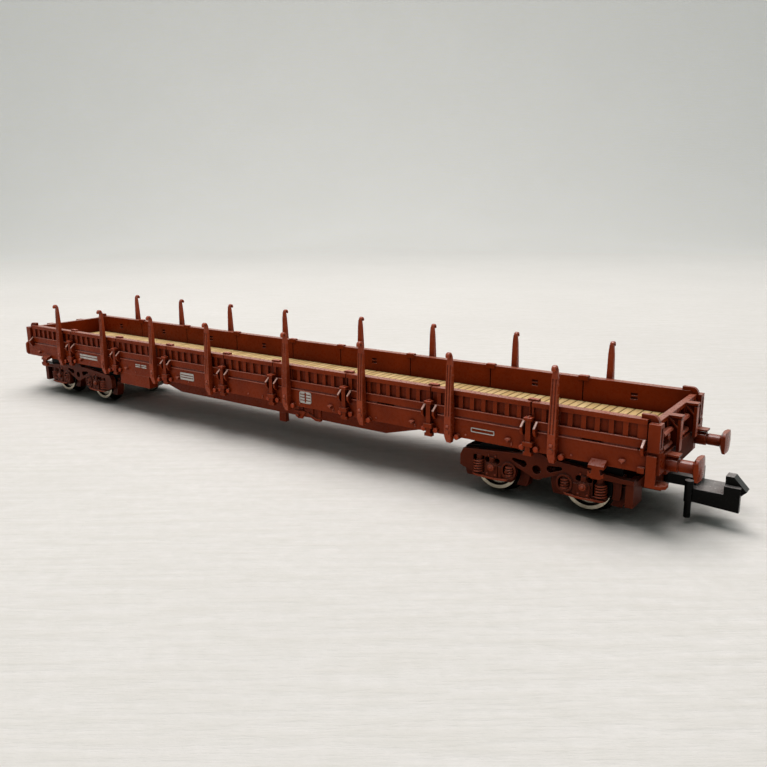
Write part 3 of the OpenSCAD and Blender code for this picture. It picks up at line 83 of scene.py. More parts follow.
def linear(red, green, blue):
    """A colour given as 8-bit screen values, in the linear values that shaders take."""
    def one(value):
        share = value / 255
        return share / 12.92 if share <= 0.04045 else ((share + 0.055) / 1.055) ** 2.4
    return (one(red), one(green), one(blue), 1.0)


def place(tree, stretch=(1, 1, 1)):
    """Object coordinates in millimetres, stretched along each axis."""
    coords = add(tree, "TexCoord")
    scale = tuple(x / MM for x in stretch)
    return add(tree, "Mapping", {"Vector": coords.outputs["Object"], "Scale": scale}).outputs["Vector"]


def noise(tree, vector, scale, detail=4, rough=0.55):
    made = add(tree, "TexNoise", {"Vector": vector, "Scale": scale, "Detail": detail, "Roughness": rough})
    return made.outputs["Fac"]


def ramp(tree, value, low, high, to_low=0.0, to_high=1.0):
    """Maps low..high to to_low..to_high, held at both ends."""
    inputs = {"Value": value, "From Min": low, "From Max": high, "To Min": to_low, "To Max": to_high}
    return add(tree, "MapRange", inputs).outputs["Result"]


def mix(tree, share, first, second, how="MIX"):
    made = add(tree, "Mix", data_type="RGBA", blend_type=how)
    for socket, value in ((made.inputs[0], share), (made.inputs[6], first), (made.inputs[7], second)):
        if isinstance(value, bpy.types.NodeSocket):
            tree.links.new(value, socket)
        else:
            socket.default_value = value
    return made.outputs[2]


def product(tree, first, second):
    return add(tree, "Math", {0: first, 1: second}, operation="MULTIPLY").outputs["Value"]


def larger(tree, first, second):
    return add(tree, "Math", {0: first, 1: second}, operation="MAXIMUM").outputs["Value"]


def seen_ray(tree):
    """1 on a ray from the eye, a reflection or through glass, and 0 on a ray that only carries light."""
    path = add(tree, "LightPath").outputs
    shown = larger(tree, path["Is Camera Ray"], path["Is Glossy Ray"])
    return larger(tree, shown, path["Is Transmission Ray"])


def edge_share(tree, rounded):
    """1 on an edge and 0 on a flat face, from how far the rounded normal leans; the edge takes wear and a
    painted highlight.
    """
    flat = add(tree, "NewGeometry").outputs["Normal"]
    lean = add(tree, "VectorMath", operation="DOT_PRODUCT")
    tree.links.new(rounded, lean.inputs[0])
    tree.links.new(flat, lean.inputs[1])
    return ramp(tree, lean.outputs["Value"], 0.995, 0.80)


def bumped(tree, height, normal, strength, depth):
    inputs = {"Height": height, "Normal": normal, "Strength": strength, "Distance": depth * MM}
    return add(tree, "Bump", inputs).outputs["Normal"]


# Materials

def moulded_plastic(name, dark, light, edge, top_sheen, roughness, hollow_shade=(0.22, 0.15, 0.13, 1), side_sheen=0.06):
    """Satin moulded plastic: cloudy colour, painted shade in hollows and deep inside, pale edges that are
    partly wear and partly a painted highlight, and a painted sheen on upper faces.
    """
    made, tree, shader = new_material(name)
    spot = place(tree)
    cloud = ramp(tree, noise(tree, spot, 0.35), 0.3, 0.7)
    hollow = add(tree, "AmbientOcclusion", {"Distance": 1.1 * MM}, samples=4).outputs["AO"]
    deep = add(tree, "AmbientOcclusion", {"Distance": 5.0 * MM}, samples=3).outputs["AO"]
    rounded = add(tree, "Bevel", {"Radius": 0.1 * MM}, samples=5).outputs["Normal"]
    upward = add(tree, "SeparateXYZ", {"Vector": rounded}).outputs["Z"]
    patchy = ramp(tree, noise(tree, spot, 1.7), 0.35, 0.75, 0.35, 0.9)
    # Edges are paled by wear and by a painted highlight, more on edges that lean upwards.
    edge_wear_and_highlight = product(tree, edge_share(tree, rounded), patchy)
    edge_wear_and_highlight = product(tree, edge_wear_and_highlight, ramp(tree, upward, -0.3, 0.4, 0.25, 1))
    # Painted sheen: faces that look up are mixed in patches towards a pale colour, less so in hollows.
    sheen_patches = ramp(tree, noise(tree, spot, 0.8), 0.3, 0.7, 0.35, 0.6)
    painted_top_sheen = product(tree, ramp(tree, upward, 0.85, 0.99), sheen_patches)
    colour = mix(tree, cloud, dark, light)
    # Painted shade: hollows and deep insides are darkened, but faces that look up are kept out of it.
    ledge = ramp(tree, upward, 0.2, 0.8, 0, 0.9)
    shade = mix(tree, larger(tree, ramp(tree, hollow, 0.3, 0.92), ledge), hollow_shade, (1, 1, 1, 1))
    colour = mix(tree, 1.0, colour, shade, "MULTIPLY")
    inside = mix(tree, larger(tree, ramp(tree, deep, 0.32, 0.86), ledge), (0.42, 0.34, 0.3, 1), (1, 1, 1, 1))
    colour = mix(tree, 1.0, colour, inside, "MULTIPLY")
    colour = mix(tree, product(tree, painted_top_sheen, ramp(tree, hollow, 0.5, 0.95)), colour, top_sheen)
    colour = mix(tree, edge_wear_and_highlight, colour, edge)
    skin = noise(tree, spot, 9, 3)
    gloss = ramp(tree, noise(tree, spot, 2.5), 0.3, 0.7, roughness - 0.06, roughness + 0.08)
    sheen = ramp(tree, upward, 0.0, 0.6, side_sheen, 0.55)
    join(tree, shader, Base_Color=colour, Roughness=gloss, Normal=bumped(tree, skin, rounded, 0.25, 0.02))
    tree.links.new(sheen, shader.inputs["Specular IOR Level"])
    return made


def plank_deck(name, pitch):
    """Tan boards across the car: each has its own tone, fine grain along it and a dark edge; painted shade
    darkens the corners.
    """
    made, tree, shader = new_material(name)
    spot = place(tree)
    across = add(tree, "SeparateXYZ", {"Vector": spot}).outputs["X"]
    count = add(tree, "Math", {0: across, 1: pitch}, operation="DIVIDE").outputs["Value"]
    board = add(tree, "Math", {0: count}, operation="ROUND").outputs["Value"]
    tone = add(tree, "TexWhiteNoise", {"W": board}, noise_dimensions="1D").outputs["Value"]
    aside = add(tree, "Math", {0: count, 1: board}, operation="SUBTRACT").outputs["Value"]
    aside = add(tree, "Math", {0: aside}, operation="ABSOLUTE").outputs["Value"]
    lip = ramp(tree, aside, 0.28, 0.5)
    grain = noise(tree, place(tree, (7, 0.6, 1)), 1.0, 6, 0.6)
    streak = noise(tree, place(tree, (2.5, 0.25, 1)), 1.0, 3)
    colour = mix(tree, tone, linear(202, 167, 106), linear(231, 200, 142))
    colour = mix(tree, ramp(tree, grain, 0.45, 0.75, 0, 0.55), colour, linear(150, 112, 66))
    colour = mix(tree, ramp(tree, streak, 0.5, 0.8, 0, 0.4), colour, linear(236, 208, 160))
    soiled = product(tree, lip, ramp(tree, streak, 0.3, 0.7, 0.2, 0.55))
    colour = mix(tree, soiled, colour, linear(146, 112, 62))
    # Painted shade in the corners where the boards meet walls and fittings.
    hollow = add(tree, "AmbientOcclusion", {"Distance": 0.5 * MM}, samples=6).outputs["AO"]
    shade = mix(tree, ramp(tree, hollow, 0.3, 0.9), (0.45, 0.38, 0.30, 1), (1, 1, 1, 1))
    colour = mix(tree, 1.0, colour, shade, "MULTIPLY")
    rounded = add(tree, "Bevel", {"Radius": 0.05 * MM}, samples=4).outputs["Normal"]
    rough = ramp(tree, grain, 0.3, 0.7, 0.55, 0.75)
    crowned = bumped(tree, ramp(tree, lip, 0, 1, 1, 0), rounded, 0.7, 0.06)
    join(tree, shader, Base_Color=colour, Roughness=rough, Normal=bumped(tree, grain, crowned, 0.5, 0.03))
    return made


def turned_metal(name, centre, bright, painted_shade_colour, groove):
    """Plated wheel: turned rings round its axle, painted shade in the groove inside its rim, and painted
    shade where it is closed in.
    """
    made, tree, shader = new_material(name)
    coords = add(tree, "TexCoord").outputs["Object"]
    moved = add(tree, "VectorMath", {0: coords, 1: centre}, operation="SUBTRACT").outputs["Vector"]
    flat = add(tree, "VectorMath", {0: moved, 1: (1, 0, 1)}, operation="MULTIPLY").outputs["Vector"]
    radius = add(tree, "VectorMath", {0: flat}, operation="LENGTH").outputs["Value"]
    in_mm = add(tree, "Math", {0: radius, 1: 1 / MM}, operation="MULTIPLY").outputs["Value"]
    turning = add(tree, "TexNoise", {"W": in_mm, "Scale": 14.0, "Detail": 3.0}, noise_dimensions="1D")
    rings = turning.outputs["Fac"]
    soft = 0.04
    # Painted shade in the groove inside the rim.
    starts = ramp(tree, in_mm, groove[0] - soft, groove[0] + soft)
    ends = ramp(tree, in_mm, groove[1] - soft, groove[1] + soft)
    painted_shade = add(tree, "Math", {0: starts, 1: ends}, operation="SUBTRACT").outputs["Value"]
    metal = mix(tree, ramp(tree, rings, 0.3, 0.7), bright, linear(203, 191, 167))
    stain = noise(tree, place(tree), 1.4)
    metal = mix(tree, ramp(tree, stain, 0.5, 0.8, 0, 0.35), metal, linear(112, 96, 80))
    # Painted shade: the metal goes dark where the bogie frame and the floor close the wheel in.
    boxed = add(tree, "AmbientOcclusion", {"Distance": 3.0 * MM}, samples=8).outputs["AO"]
    metal = mix(tree, ramp(tree, boxed, 0.35, 0.72), painted_shade_colour, metal)
    colour = mix(tree, painted_shade, metal, painted_shade_colour)
    rough = ramp(tree, rings, 0.3, 0.7, 0.2, 0.32)
    rounded = add(tree, "Bevel", {"Radius": 0.05 * MM}, samples=4).outputs["Normal"]
    join(tree, shader, Base_Color=colour, Roughness=rough, Normal=bumped(tree, rings, rounded, 0.3, 0.01))
    shader.inputs["Metallic"].default_value = 1.0
    return made


def plain_steel(name):
    made, tree, shader = new_material(name)
    drawn = noise(tree, place(tree, (1, 6, 6)), 2.0)
    colour = mix(tree, ramp(tree, drawn, 0.3, 0.7), linear(120, 118, 114), linear(168, 164, 158))
    # Painted shade: the steel goes near black where other parts close it in.
    boxed = add(tree, "AmbientOcclusion", {"Distance": 3.0 * MM}, samples=8).outputs["AO"]
    colour = mix(tree, ramp(tree, boxed, 0.3, 0.7), linear(26, 24, 22), colour)
    rounded = add(tree, "Bevel", {"Radius": 0.05 * MM}, samples=4).outputs["Normal"]
    rough = ramp(tree, drawn, 0.3, 0.7, 0.3, 0.45)
    join(tree, shader, Base_Color=colour, Roughness=rough, Normal=bumped(tree, drawn, rounded, 0.3, 0.01))
    shader.inputs["Metallic"].default_value = 1.0
    return made


# The edge colours go on edges, partly as wear and partly as a painted highlight; the bloom or top sheen
# colours are a painted sheen on upper faces.
RED_DARK = linear(122, 42, 13)
RED_LIGHT = linear(140, 51, 18)
RED_EDGE = linear(192, 98, 66)
RED_TOP_SHEEN = linear(188, 124, 104)
BROWN_DARK = linear(86, 30, 12)
BROWN_LIGHT = linear(102, 38, 16)
BROWN_EDGE = linear(172, 84, 54)
BROWN_TOP_SHEEN = linear(140, 84, 66)
BLACK_DARK = linear(9, 9, 8)
BLACK_LIGHT = linear(17, 16, 14)
BLACK_EDGE = linear(66, 64, 60)
BLACK_TOP_SHEEN = linear(190, 181, 177)
# Lighter copies of the red and the brown, which paint the highlights on beads, sill fittings, end rails,
# springs and bolts.
LIT_RED_DARK = linear(160, 74, 52)
LIT_RED_LIGHT = linear(184, 98, 76)
LIT_BROWN_DARK = linear(136, 56, 32)
LIT_BROWN_LIGHT = linear(160, 70, 44)
LIT_BROWN_EDGE = linear(196, 104, 74)
# A dark brown that paints the shade on the headstock's face.
SHADE_PLATE_DARK = linear(72, 27, 13)
SHADE_PLATE_LIGHT = linear(86, 34, 17)
# A pale red that paints the highlight on the sloping tops of the hinge lugs.
HIGHLIGHT_DARK = linear(204, 146, 128)
HIGHLIGHT_LIGHT = linear(232, 190, 176)
HIGHLIGHT_EDGE = linear(240, 208, 196)
STAKE_DARK = linear(148, 57, 28)
STAKE_LIGHT = linear(168, 71, 38)
# A weak painted shade for the flutes of the stakes and for the small lighter fittings.
STAKE_HOLLOW_SHADE = (0.82, 0.77, 0.75, 1)
# A lighter red that paints the highlights on the post caps, clips, knobs and hinge bolts.
BRIGHT_DARK = linear(160, 60, 31)
BRIGHT_LIGHT = linear(178, 72, 40)
BRIGHT_EDGE = linear(208, 112, 78)
BRIGHT_TOP_SHEEN = linear(186, 92, 66)
# The painted shade in the hollows of the red plastic.
RED_HOLLOW_SHADE = (0.5, 0.4, 0.37, 1)
PLANK_PITCH = 1.05
WHEEL_GROOVE = (2.08, 2.31)

red = moulded_plastic("oxide_red_plastic", RED_DARK, RED_LIGHT, RED_EDGE, RED_TOP_SHEEN, 0.28, RED_HOLLOW_SHADE)
brown = moulded_plastic("oxide_brown_plastic", BROWN_DARK, BROWN_LIGHT, BROWN_EDGE, BROWN_TOP_SHEEN, 0.32)
black = moulded_plastic("black_plastic", BLACK_DARK, BLACK_LIGHT, BLACK_EDGE, BLACK_TOP_SHEEN, 0.22)
# This near black paints the shade on the plates inside the bogies.
unlit = moulded_plastic("painted_shade_dark_plastic", BLACK_DARK, BLACK_LIGHT, BLACK_LIGHT, BLACK_EDGE, 0.5)
fluted = moulded_plastic("oxide_red_stakes", STAKE_DARK, STAKE_LIGHT, RED_EDGE, RED_TOP_SHEEN, 0.24,
                         STAKE_HOLLOW_SHADE, 0.12)
# This lighter red paints the highlights on the post caps, clips, knobs and hinge bolts.
bright = moulded_plastic("painted_lit_bright_red_plastic", BRIGHT_DARK, BRIGHT_LIGHT, BRIGHT_EDGE, BRIGHT_TOP_SHEEN, 0.28,
                         STAKE_HOLLOW_SHADE)
# This pale red paints the highlight on the sloping tops of the hinge lugs.
painted_highlight_red = moulded_plastic("painted_highlight_red_plastic", HIGHLIGHT_DARK, HIGHLIGHT_LIGHT, HIGHLIGHT_EDGE, HIGHLIGHT_EDGE, 0.3, STAKE_HOLLOW_SHADE)
glossy = moulded_plastic("glossy_red_plastic", RED_DARK, RED_LIGHT, RED_EDGE, RED_TOP_SHEEN, 0.22)
# These lighter copies of the red and the brown paint the highlights on beads, sill fittings, end rails,
# springs and bolts.
painted_lit_red = moulded_plastic("painted_lit_red_plastic", LIT_RED_DARK, LIT_RED_LIGHT, HIGHLIGHT_DARK, HIGHLIGHT_DARK, 0.3,
                           STAKE_HOLLOW_SHADE)
painted_lit_brown = moulded_plastic("painted_lit_brown_plastic", LIT_BROWN_DARK, LIT_BROWN_LIGHT, LIT_BROWN_EDGE,
                             BROWN_TOP_SHEEN, 0.3)
# This dark brown paints the shade on the headstock's face.
shade_plate_brown = moulded_plastic("painted_shade_brown_plastic", SHADE_PLATE_DARK, SHADE_PLATE_LIGHT, BROWN_DARK, BROWN_DARK, 0.75)
deck = plank_deck("plank_deck", PLANK_PITCH)
steel = plain_steel("plain_steel")


def node_middle(name):
    low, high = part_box(name)
    return (low + high) / 2


def dress(name, made):
    """Gives a node of the frame one material over its whole surface."""
    data = frame["nodes"][name].data
    data.materials.clear()
    data.materials.append(made)


slot_looks = {"body_plastic": red, "deck_plastic": deck, "coupler_plastic": black, "steel": steel}
for part in frame["record"]["subparts"]:
    if part["material_slot"] in slot_looks:
        dress(part["node"], slot_looks[part["material_slot"]])
for side in SIDES:
    for number in range(1, 9):
        dress(f"stake_{side}_{number}", fluted)
    for end in ENDS:
        dress(f"buffer_{end}_{side}", glossy)
for end in ENDS:
    dress(f"bogie_frame_{end}", brown)
for end in ENDS:
    for axle in AXLES:
        # The second colour paints the shade in the groove and where the wheel is closed in.
        turned = turned_metal(f"turned_nickel_{end}_{axle}", node_middle(f"axle_{end}_{axle}"),
                              linear(243, 232, 208), linear(30, 24, 20), WHEEL_GROOVE)
        for side in SIDES:
            dress(f"wheel_{end}_{axle}_{side}", turned)


# Pieces

def piece(name, build, body, look):
    """A mesh made by build, which works in millimetres, riding on a body."""
    mesh = bmesh.new()
    build(mesh)
    bmesh.ops.recalc_face_normals(mesh, faces=mesh.faces)
    bmesh.ops.scale(mesh, vec=(MM, MM, MM), verts=mesh.verts)
    data = bpy.data.meshes.new(name)
    mesh.to_mesh(data)
    mesh.free()
    made = bpy.data.objects.new(name, data)
    bpy.context.scene.collection.objects.link(made)
    data.materials.append(look)
    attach(made, body)
    return made


def loft(mesh, rings, round_trip=False):
    """Joins rings of equal count into a skin, and closes both ends or joins the last ring to the first."""
    loops = [[mesh.verts.new(point) for point in ring] for ring in rings]
    count = len(loops[0])
    if round_trip:
        loops.append(loops[0])
    for low, high in zip(loops, loops[1:]):
        for i in range(count):
            mesh.faces.new((low[i], low[(i + 1) % count], high[(i + 1) % count], high[i]))
    if not round_trip:
        mesh.faces.new(loops[0])
        mesh.faces.new(loops[-1])


def upright(mesh, outline, low, high):
    """A plate whose outline is in X and Z, from low to high in Y."""
    loft(mesh, [[(x, y, z) for x, z in outline] for y in (low, high)])


def lengthwise(mesh, outline, low, high):
    """A bar whose outline is in Y and Z, from low to high in X."""
    loft(mesh, [[(x, y, z) for y, z in outline] for x in (low, high)])


def coil(mesh, x, y, low, high, radius, wire, turns):
    """A spring of round wire about an upright line."""
    sides = 8
    steps = 18
    rings = []
    for i in range(turns * steps + 1):
        angle = 2 * math.pi * i / steps
        out = Vector((math.cos(angle), math.sin(angle), 0))
        middle = Vector((x, y, low + (high - low) * i / (turns * steps))) + out * radius
        spread = [2 * math.pi * k / sides for k in range(sides)]
        rings.append([middle + wire * (out * math.cos(a) + Vector((0, 0, math.sin(a)))) for a in spread])
    loft(mesh, rings)


def round_head(mesh, at, out, radius, height):
    """A domed bolt head that stands on a face, with its foot sunk a little into it."""
    sides = 12
    out = Vector(out).normalized()
    across = out.orthogonal().normalized()
    up = out.cross(across)
    profile = ((1.0, -0.3), (1.0, 0.45), (0.8, 0.8), (0.45, 1.0))
    rings = []
    for share, rise in profile:
        angles = [2 * math.pi * i / sides for i in range(sides)]
        rings.append([Vector(at) + out * (rise * height)
                      + (across * math.cos(a) + up * math.sin(a)) * (share * radius) for a in angles])
    loft(mesh, rings)


def plate_ring(low, high, y, shrink):
    """The outline of a plate with round corners, drawn in by shrink, at one Y."""
    corner = min(high[0] - low[0], high[1] - low[1]) / 5
    steps = 5
    left, right = low[0] + corner, high[0] - corner
    foot, top = low[1] + corner, high[1] - corner
    centres = ((right, top, 0), (left, top, 90), (left, foot, 180), (right, foot, 270))
    ring = []
    for x, z, start in centres:
        for i in range(steps + 1):
            angle = math.radians(start + 90 * i / steps)
            ring.append((x + (corner - shrink) * math.cos(angle), y, z + (corner - shrink) * math.sin(angle)))
    return ring


def rounded_plate(mesh, low, high, face_y, thick):
    """A thin plate with round corners on an upright face that looks towards -Y, with a bevelled rim."""
    steps = ((0.0, -thick), (0.0, thick * 0.6), (thick * 0.4, thick))
    loft(mesh, [plate_ring(low, high, face_y - out, shrink) for shrink, out in steps])


def plate_rim(mesh, low, high, face_y, thick, width):
    """A raised rim with round corners on an upright face that looks towards -Y."""
    steps = ((0.0, -thick), (0.0, thick), (width, thick), (width, -thick))
    loft(mesh, [plate_ring(low, high, face_y - out, shrink) for shrink, out in steps], True)


def enamel(name):
    """Off-white enamel with a faint stain, for the bare label plates."""
    made, tree, shader = new_material(name)
    spot = place(tree)
    stain = ramp(tree, noise(tree, spot, 1.2, 5, 0.65), 0.4, 0.75)
    fleck = ramp(tree, noise(tree, spot, 6.0, 2), 0.62, 0.75, 0, 0.6)
    colour = mix(tree, stain, linear(206, 200, 194), linear(178, 168, 160))
    colour = mix(tree, fleck, colour, linear(140, 118, 108))
    rounded = add(tree, "Bevel", {"Radius": 0.03 * MM}, samples=4).outputs["Normal"]
    rough = ramp(tree, stain, 0, 1, 0.4, 0.6)
    join(tree, shader, Base_Color=colour, Roughness=rough, Normal=bumped(tree, stain, rounded, 0.3, 0.02))
    return made


# Bare label places on the near sill: left, right, foot, top, a rim or none, columns and rows of plain bars
LABELS = {
    "label_plate_1": (36.75, 39.80, 7.78, 8.32, True, 0, 0),
    "label_plate_2": (9.90, 12.00, 7.40, 9.03, True, 2, 4),
    "label_plate_3": (-15.05, -11.90, 7.52, 8.64, True, 1, 3),
    "label_plate_4": (-26.40, -23.30, 8.08, 8.72, False, 2, 2),
    "label_plate_5": (-42.10, -36.75, 7.85, 8.75, False, 1, 2),
}
PLATE_THICK = 0.06
RIM_WIDTH = 0.1
BAR_GAP = 0.14
sill_box = [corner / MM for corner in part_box("equipment_boxes")]
sill_face = sill_box[1].y
plate_look = enamel("label_enamel")


def label_place(mesh, left, right, foot, top, rim, columns, rows):
    if rim:
        plate_rim(mesh, (left, foot), (right, top), -sill_face, PLATE_THICK, RIM_WIDTH)
    wide = (right - left) / max(columns, 1)
    tall = (top - foot) / max(rows, 1)
    for column in range(columns):
        for row in range(rows):
            low = (left + column * wide + BAR_GAP, foot + row * tall + BAR_GAP / 2)
            high = (left + (column + 1) * wide - BAR_GAP, foot + (row + 1) * tall - BAR_GAP / 2)
            rounded_plate(mesh, low, high, -sill_face, PLATE_THICK)


for label, values in LABELS.items():
    piece(label, lambda mesh: label_place(mesh, *values), "wagon", plate_look)

# Small fittings along both sills; a place on the far side is the near one turned half round
HALF_WIDTH = 7.95
JOINTS = (5.0, 18.07, 31.14, 44.21)
LAST_JOINT = 57.1
LUG_ASIDE = 0.78
LUG_HALF = 0.12
LUG_LAST = 56.76
LUG_SLOPE = ((7.94, 10.26), (8.71, 9.61), (8.76, 9.67), (7.98, 10.33))
EYES = (15.47, 28.54, 41.61, 54.68)
EYE = ((-0.3, 7.72), (-0.3, 7.84), (-0.12, 7.9), (0.12, 7.9), (0.3, 7.84), (0.3, 7.72), (0.12, 7.68),
       (0.0, 7.42), (-0.12, 7.68))
EYE_OUT = 0.4
FOOT_SUNK = 0.05
RIB = ((-0.06, 7.05), (0.06, 7.05), (0.06, 7.38), (0.0, 7.42), (-0.06, 7.38))
RIB_OUT = 0.12
RIB_ASIDE = 2.2
STUD_ASIDE = 4.9
STUD_Z = 7.25
STUD_HEAD = (0.12, 0.12)
STAKE_ASIDE = 2.9
STAKE_FACE = 8.85
STAKE_BOLT_Z = 8.17
STAKE_BOLT_HEAD = (0.2, 0.17)
GAP_BAR = ((7.52, 9.1), (7.9, 9.1), (7.84, 9.44), (7.52, 9.44))
OPEN_GAPS = ((23.05, 25.72), (50.1, 52.54))
GAP_CLEAR = 1


def both(values):
    return sorted([-x for x in values] + list(values))


def sided(outline, side):
    return [(side * y, z) for y, z in outline]


# Each lug slope gets a pale strip that paints its highlight.
def lug_highlights(mesh, side):
    for x in both([joint + aside for joint in JOINTS for aside in (-LUG_ASIDE, LUG_ASIDE)] + [LUG_LAST]):
        lengthwise(mesh, sided(LUG_SLOPE, side), x - LUG_HALF, x + LUG_HALF)


def sill_fittings(mesh, side):
    foot = side * (HALF_WIDTH - FOOT_SUNK)
    for x in both(EYES):
        upright(mesh, [(x + across, z) for across, z in EYE], foot, side * (HALF_WIDTH + EYE_OUT))
    for joint in both(JOINTS):
        rib = -side * (joint - RIB_ASIDE)
        upright(mesh, [(rib + across, z) for across, z in RIB], foot, side * (HALF_WIDTH + RIB_OUT))
        stud = -side * (joint + STUD_ASIDE)
        round_head(mesh, (stud, side * HALF_WIDTH, STUD_Z), (0, side, 0), *STUD_HEAD)
        stake = joint + math.copysign(STAKE_ASIDE, joint)
        round_head(mesh, (stake, side * STAKE_FACE, STAKE_BOLT_Z), (0, side, 0), *STAKE_BOLT_HEAD)


def gap_bars(mesh, side):
    """Bars that close the gap over the sill, but for a few short lengths."""
    edges = both(JOINTS + (LAST_JOINT,))
    for left, right in zip(edges, edges[1:]):
        cuts = [left + GAP_CLEAR]
        for low, high in OPEN_GAPS:
            if left < low < right:
                cuts += [low, high]
        cuts.append(right - GAP_CLEAR)
        for low, high in zip(cuts[::2], cuts[1::2]):
            lengthwise(mesh, sided(GAP_BAR, side), -side * low, -side * high)


# Beads along the top edges of the lower rail and of the sill, in a lighter red that paints the highlight on
# those edges
RAIL_BEAD = ((7.88, 10.24), (7.99, 10.24), (8.01, 10.29), (7.97, 10.34), (7.88, 10.34))
SILL_BEAD = ((7.88, 9.05), (7.99, 9.05), (8.04, 9.1), (8.02, 9.16), (7.88, 9.17))
BEAD_CLEAR = 0.97


def rail_beads(mesh, side):
    edges = both(JOINTS + (LAST_JOINT,))
    for left, right in zip(edges, edges[1:]):
        for bead in (RAIL_BEAD, SILL_BEAD):
            lengthwise(mesh, sided(bead, side), left + BEAD_CLEAR, right - BEAD_CLEAR)


# Caps on the posts, clips, knobs and hinge bolts, in a lighter red that paints their highlights
KNOB_ASIDE = 0.95
KNOB_Z = 6.885
KNOB_FACE = 8.37
HINGE_ASIDE = 0.84
HINGE_Z = 7.19
HINGE_FACE = 8.25
CAP_HEAD = (0.33, 0.12)
POST_HALF = 0.46
POST_CAP = ((7.98, 10.71), (8.68, 10.71), (8.73, 10.75), (8.66, 10.8), (7.98, 10.8))
CLIP = ((-0.62, 12.58), (0.62, 12.58), (0.62, 12.63), (0.57, 12.66), (-0.57, 12.66), (-0.62, 12.63))
CLIP_FACES = (6.85, 7.43)


def painted_lit_caps(mesh, side):
    for joint in both(JOINTS):
        knob = joint + math.copysign(STAKE_ASIDE, joint) - side * KNOB_ASIDE
        round_head(mesh, (knob, side * KNOB_FACE, KNOB_Z), (0, side, 0), *CAP_HEAD)
        for aside in (-HINGE_ASIDE, HINGE_ASIDE):
            round_head(mesh, (joint + aside, side * HINGE_FACE, HINGE_Z), (0, side, 0), *CAP_HEAD)
        lengthwise(mesh, sided(POST_CAP, side), joint - POST_HALF, joint + POST_HALF)
        upright(mesh, [(joint + across, z) for across, z in CLIP], *(side * y for y in CLIP_FACES))


# The caps, beads and sill fittings are in lighter reds and the lug slopes in a pale red, which paint their
# highlights; the gap bars are the plain red.
for side_name, side in SIDES.items():
    piece(f"painted_lit_caps_{side_name}", lambda mesh: painted_lit_caps(mesh, side), "wagon", bright)
    piece(f"rail_beads_{side_name}", lambda mesh: rail_beads(mesh, side), "wagon", painted_lit_red)
    piece(f"lug_highlights_{side_name}", lambda mesh: lug_highlights(mesh, side), "wagon", painted_highlight_red)
    piece(f"sill_fittings_{side_name}", lambda mesh: sill_fittings(mesh, side), "wagon",
          painted_lit_red)
    piece(f"gap_bars_{side_name}", lambda mesh: gap_bars(mesh, side), "wagon", red)

# Faces of the drop ends in a lighter red that paints their highlights: rails between the stanchions and the
# stanchions' flanges; and a dark plate that paints the shade on the headstock
END_BAYS = ((-6.4, -3.6), (-2.6, 2.6), (3.6, 6.4))
END_RAILS = ((8.92, 9.4), (10.44, 10.86))
END_RAIL_FACES = (57.75, 58.22, 58.34)
RAIL_FOOT = 0.1
RAIL_LIP = 0.16
STANCHIONS = (-3.1, 3.1)
FLANGE_HALF = 0.4
FLANGE_FACES = (58.9, 59.04)
FLANGE_SPAN = (8.35, 11.6)
FLANGE_TIP = 0.12
HEADSTOCK_FACES = (58.4, 58.5)
HEADSTOCK = ((-4.4, 6.5), (-4.1, 6.25), (4.1, 6.25), (4.4, 6.5), (4.4, 8.3), (4.1, 8.6), (-4.1, 8.6),
             (-4.4, 8.3))


def end_rails(mesh, end):
    back, lip, front = (ENDS[end] * x for x in END_RAIL_FACES)
    for foot, top in END_RAILS:
        outline = ((back, foot), (lip, foot), (front, foot + RAIL_FOOT), (front, top - RAIL_LIP), (lip, top),
                   (back, top))
        for low, high in END_BAYS:
            upright(mesh, outline, low, high)
    foot, top = FLANGE_SPAN
    for middle in STANCHIONS:
        low, high = middle - FLANGE_HALF, middle + FLANGE_HALF
        outline = ((low, foot), (middle, foot - FLANGE_TIP), (high, foot), (high, top), (low, top))
        lengthwise(mesh, outline, *(ENDS[end] * x for x in FLANGE_FACES))


# A thin dark plate on the headstock's face that paints its shade.
def headstock_shade_plate(mesh, end):
    lengthwise(mesh, HEADSTOCK, *(ENDS[end] * x for x in HEADSTOCK_FACES))


for end in ENDS:
    piece(f"end_rails_{end}", lambda mesh: end_rails(mesh, end), "wagon", painted_lit_red)
    piece(f"headstock_shade_plate_{end}", lambda mesh: headstock_shade_plate(mesh, end), "wagon", shade_plate_brown)

# Bolt heads on the bogies: beside each horn, at the foot of each axlebox, and a stepped cap on its cover; a
# lighter brown paints their highlights
FRAME_FACE = 7.0
AXLEBOX_FACE = 7.2
BOLT_RADIUS = 0.13
BOLT_HEIGHT = 0.12
BOLTS = ((-0.42, 1.62, FRAME_FACE), (0.42, 1.62, FRAME_FACE),
         (0.52, -0.62, AXLEBOX_FACE), (-0.52, -0.62, AXLEBOX_FACE))
CAP_FACE = 7.4
CAP_RISE = 0.25
CAP_STEPS = ((0.4, 0.09), (0.2, 0.24))


def bogie_bolts(mesh, end, side):
    out = SIDES[side]
    for axle in AXLES:
        middle = node_middle(f"axle_{end}_{axle}") / MM
        for along, rise, face in BOLTS:
            at = (middle.x + along, out * face, middle.z + rise)
            round_head(mesh, at, (0, out, 0), BOLT_RADIUS, BOLT_HEIGHT)
        for radius, height in CAP_STEPS:
            round_head(mesh, (middle.x, out * CAP_FACE, middle.z + CAP_RISE), (0, out, 0), radius, height)


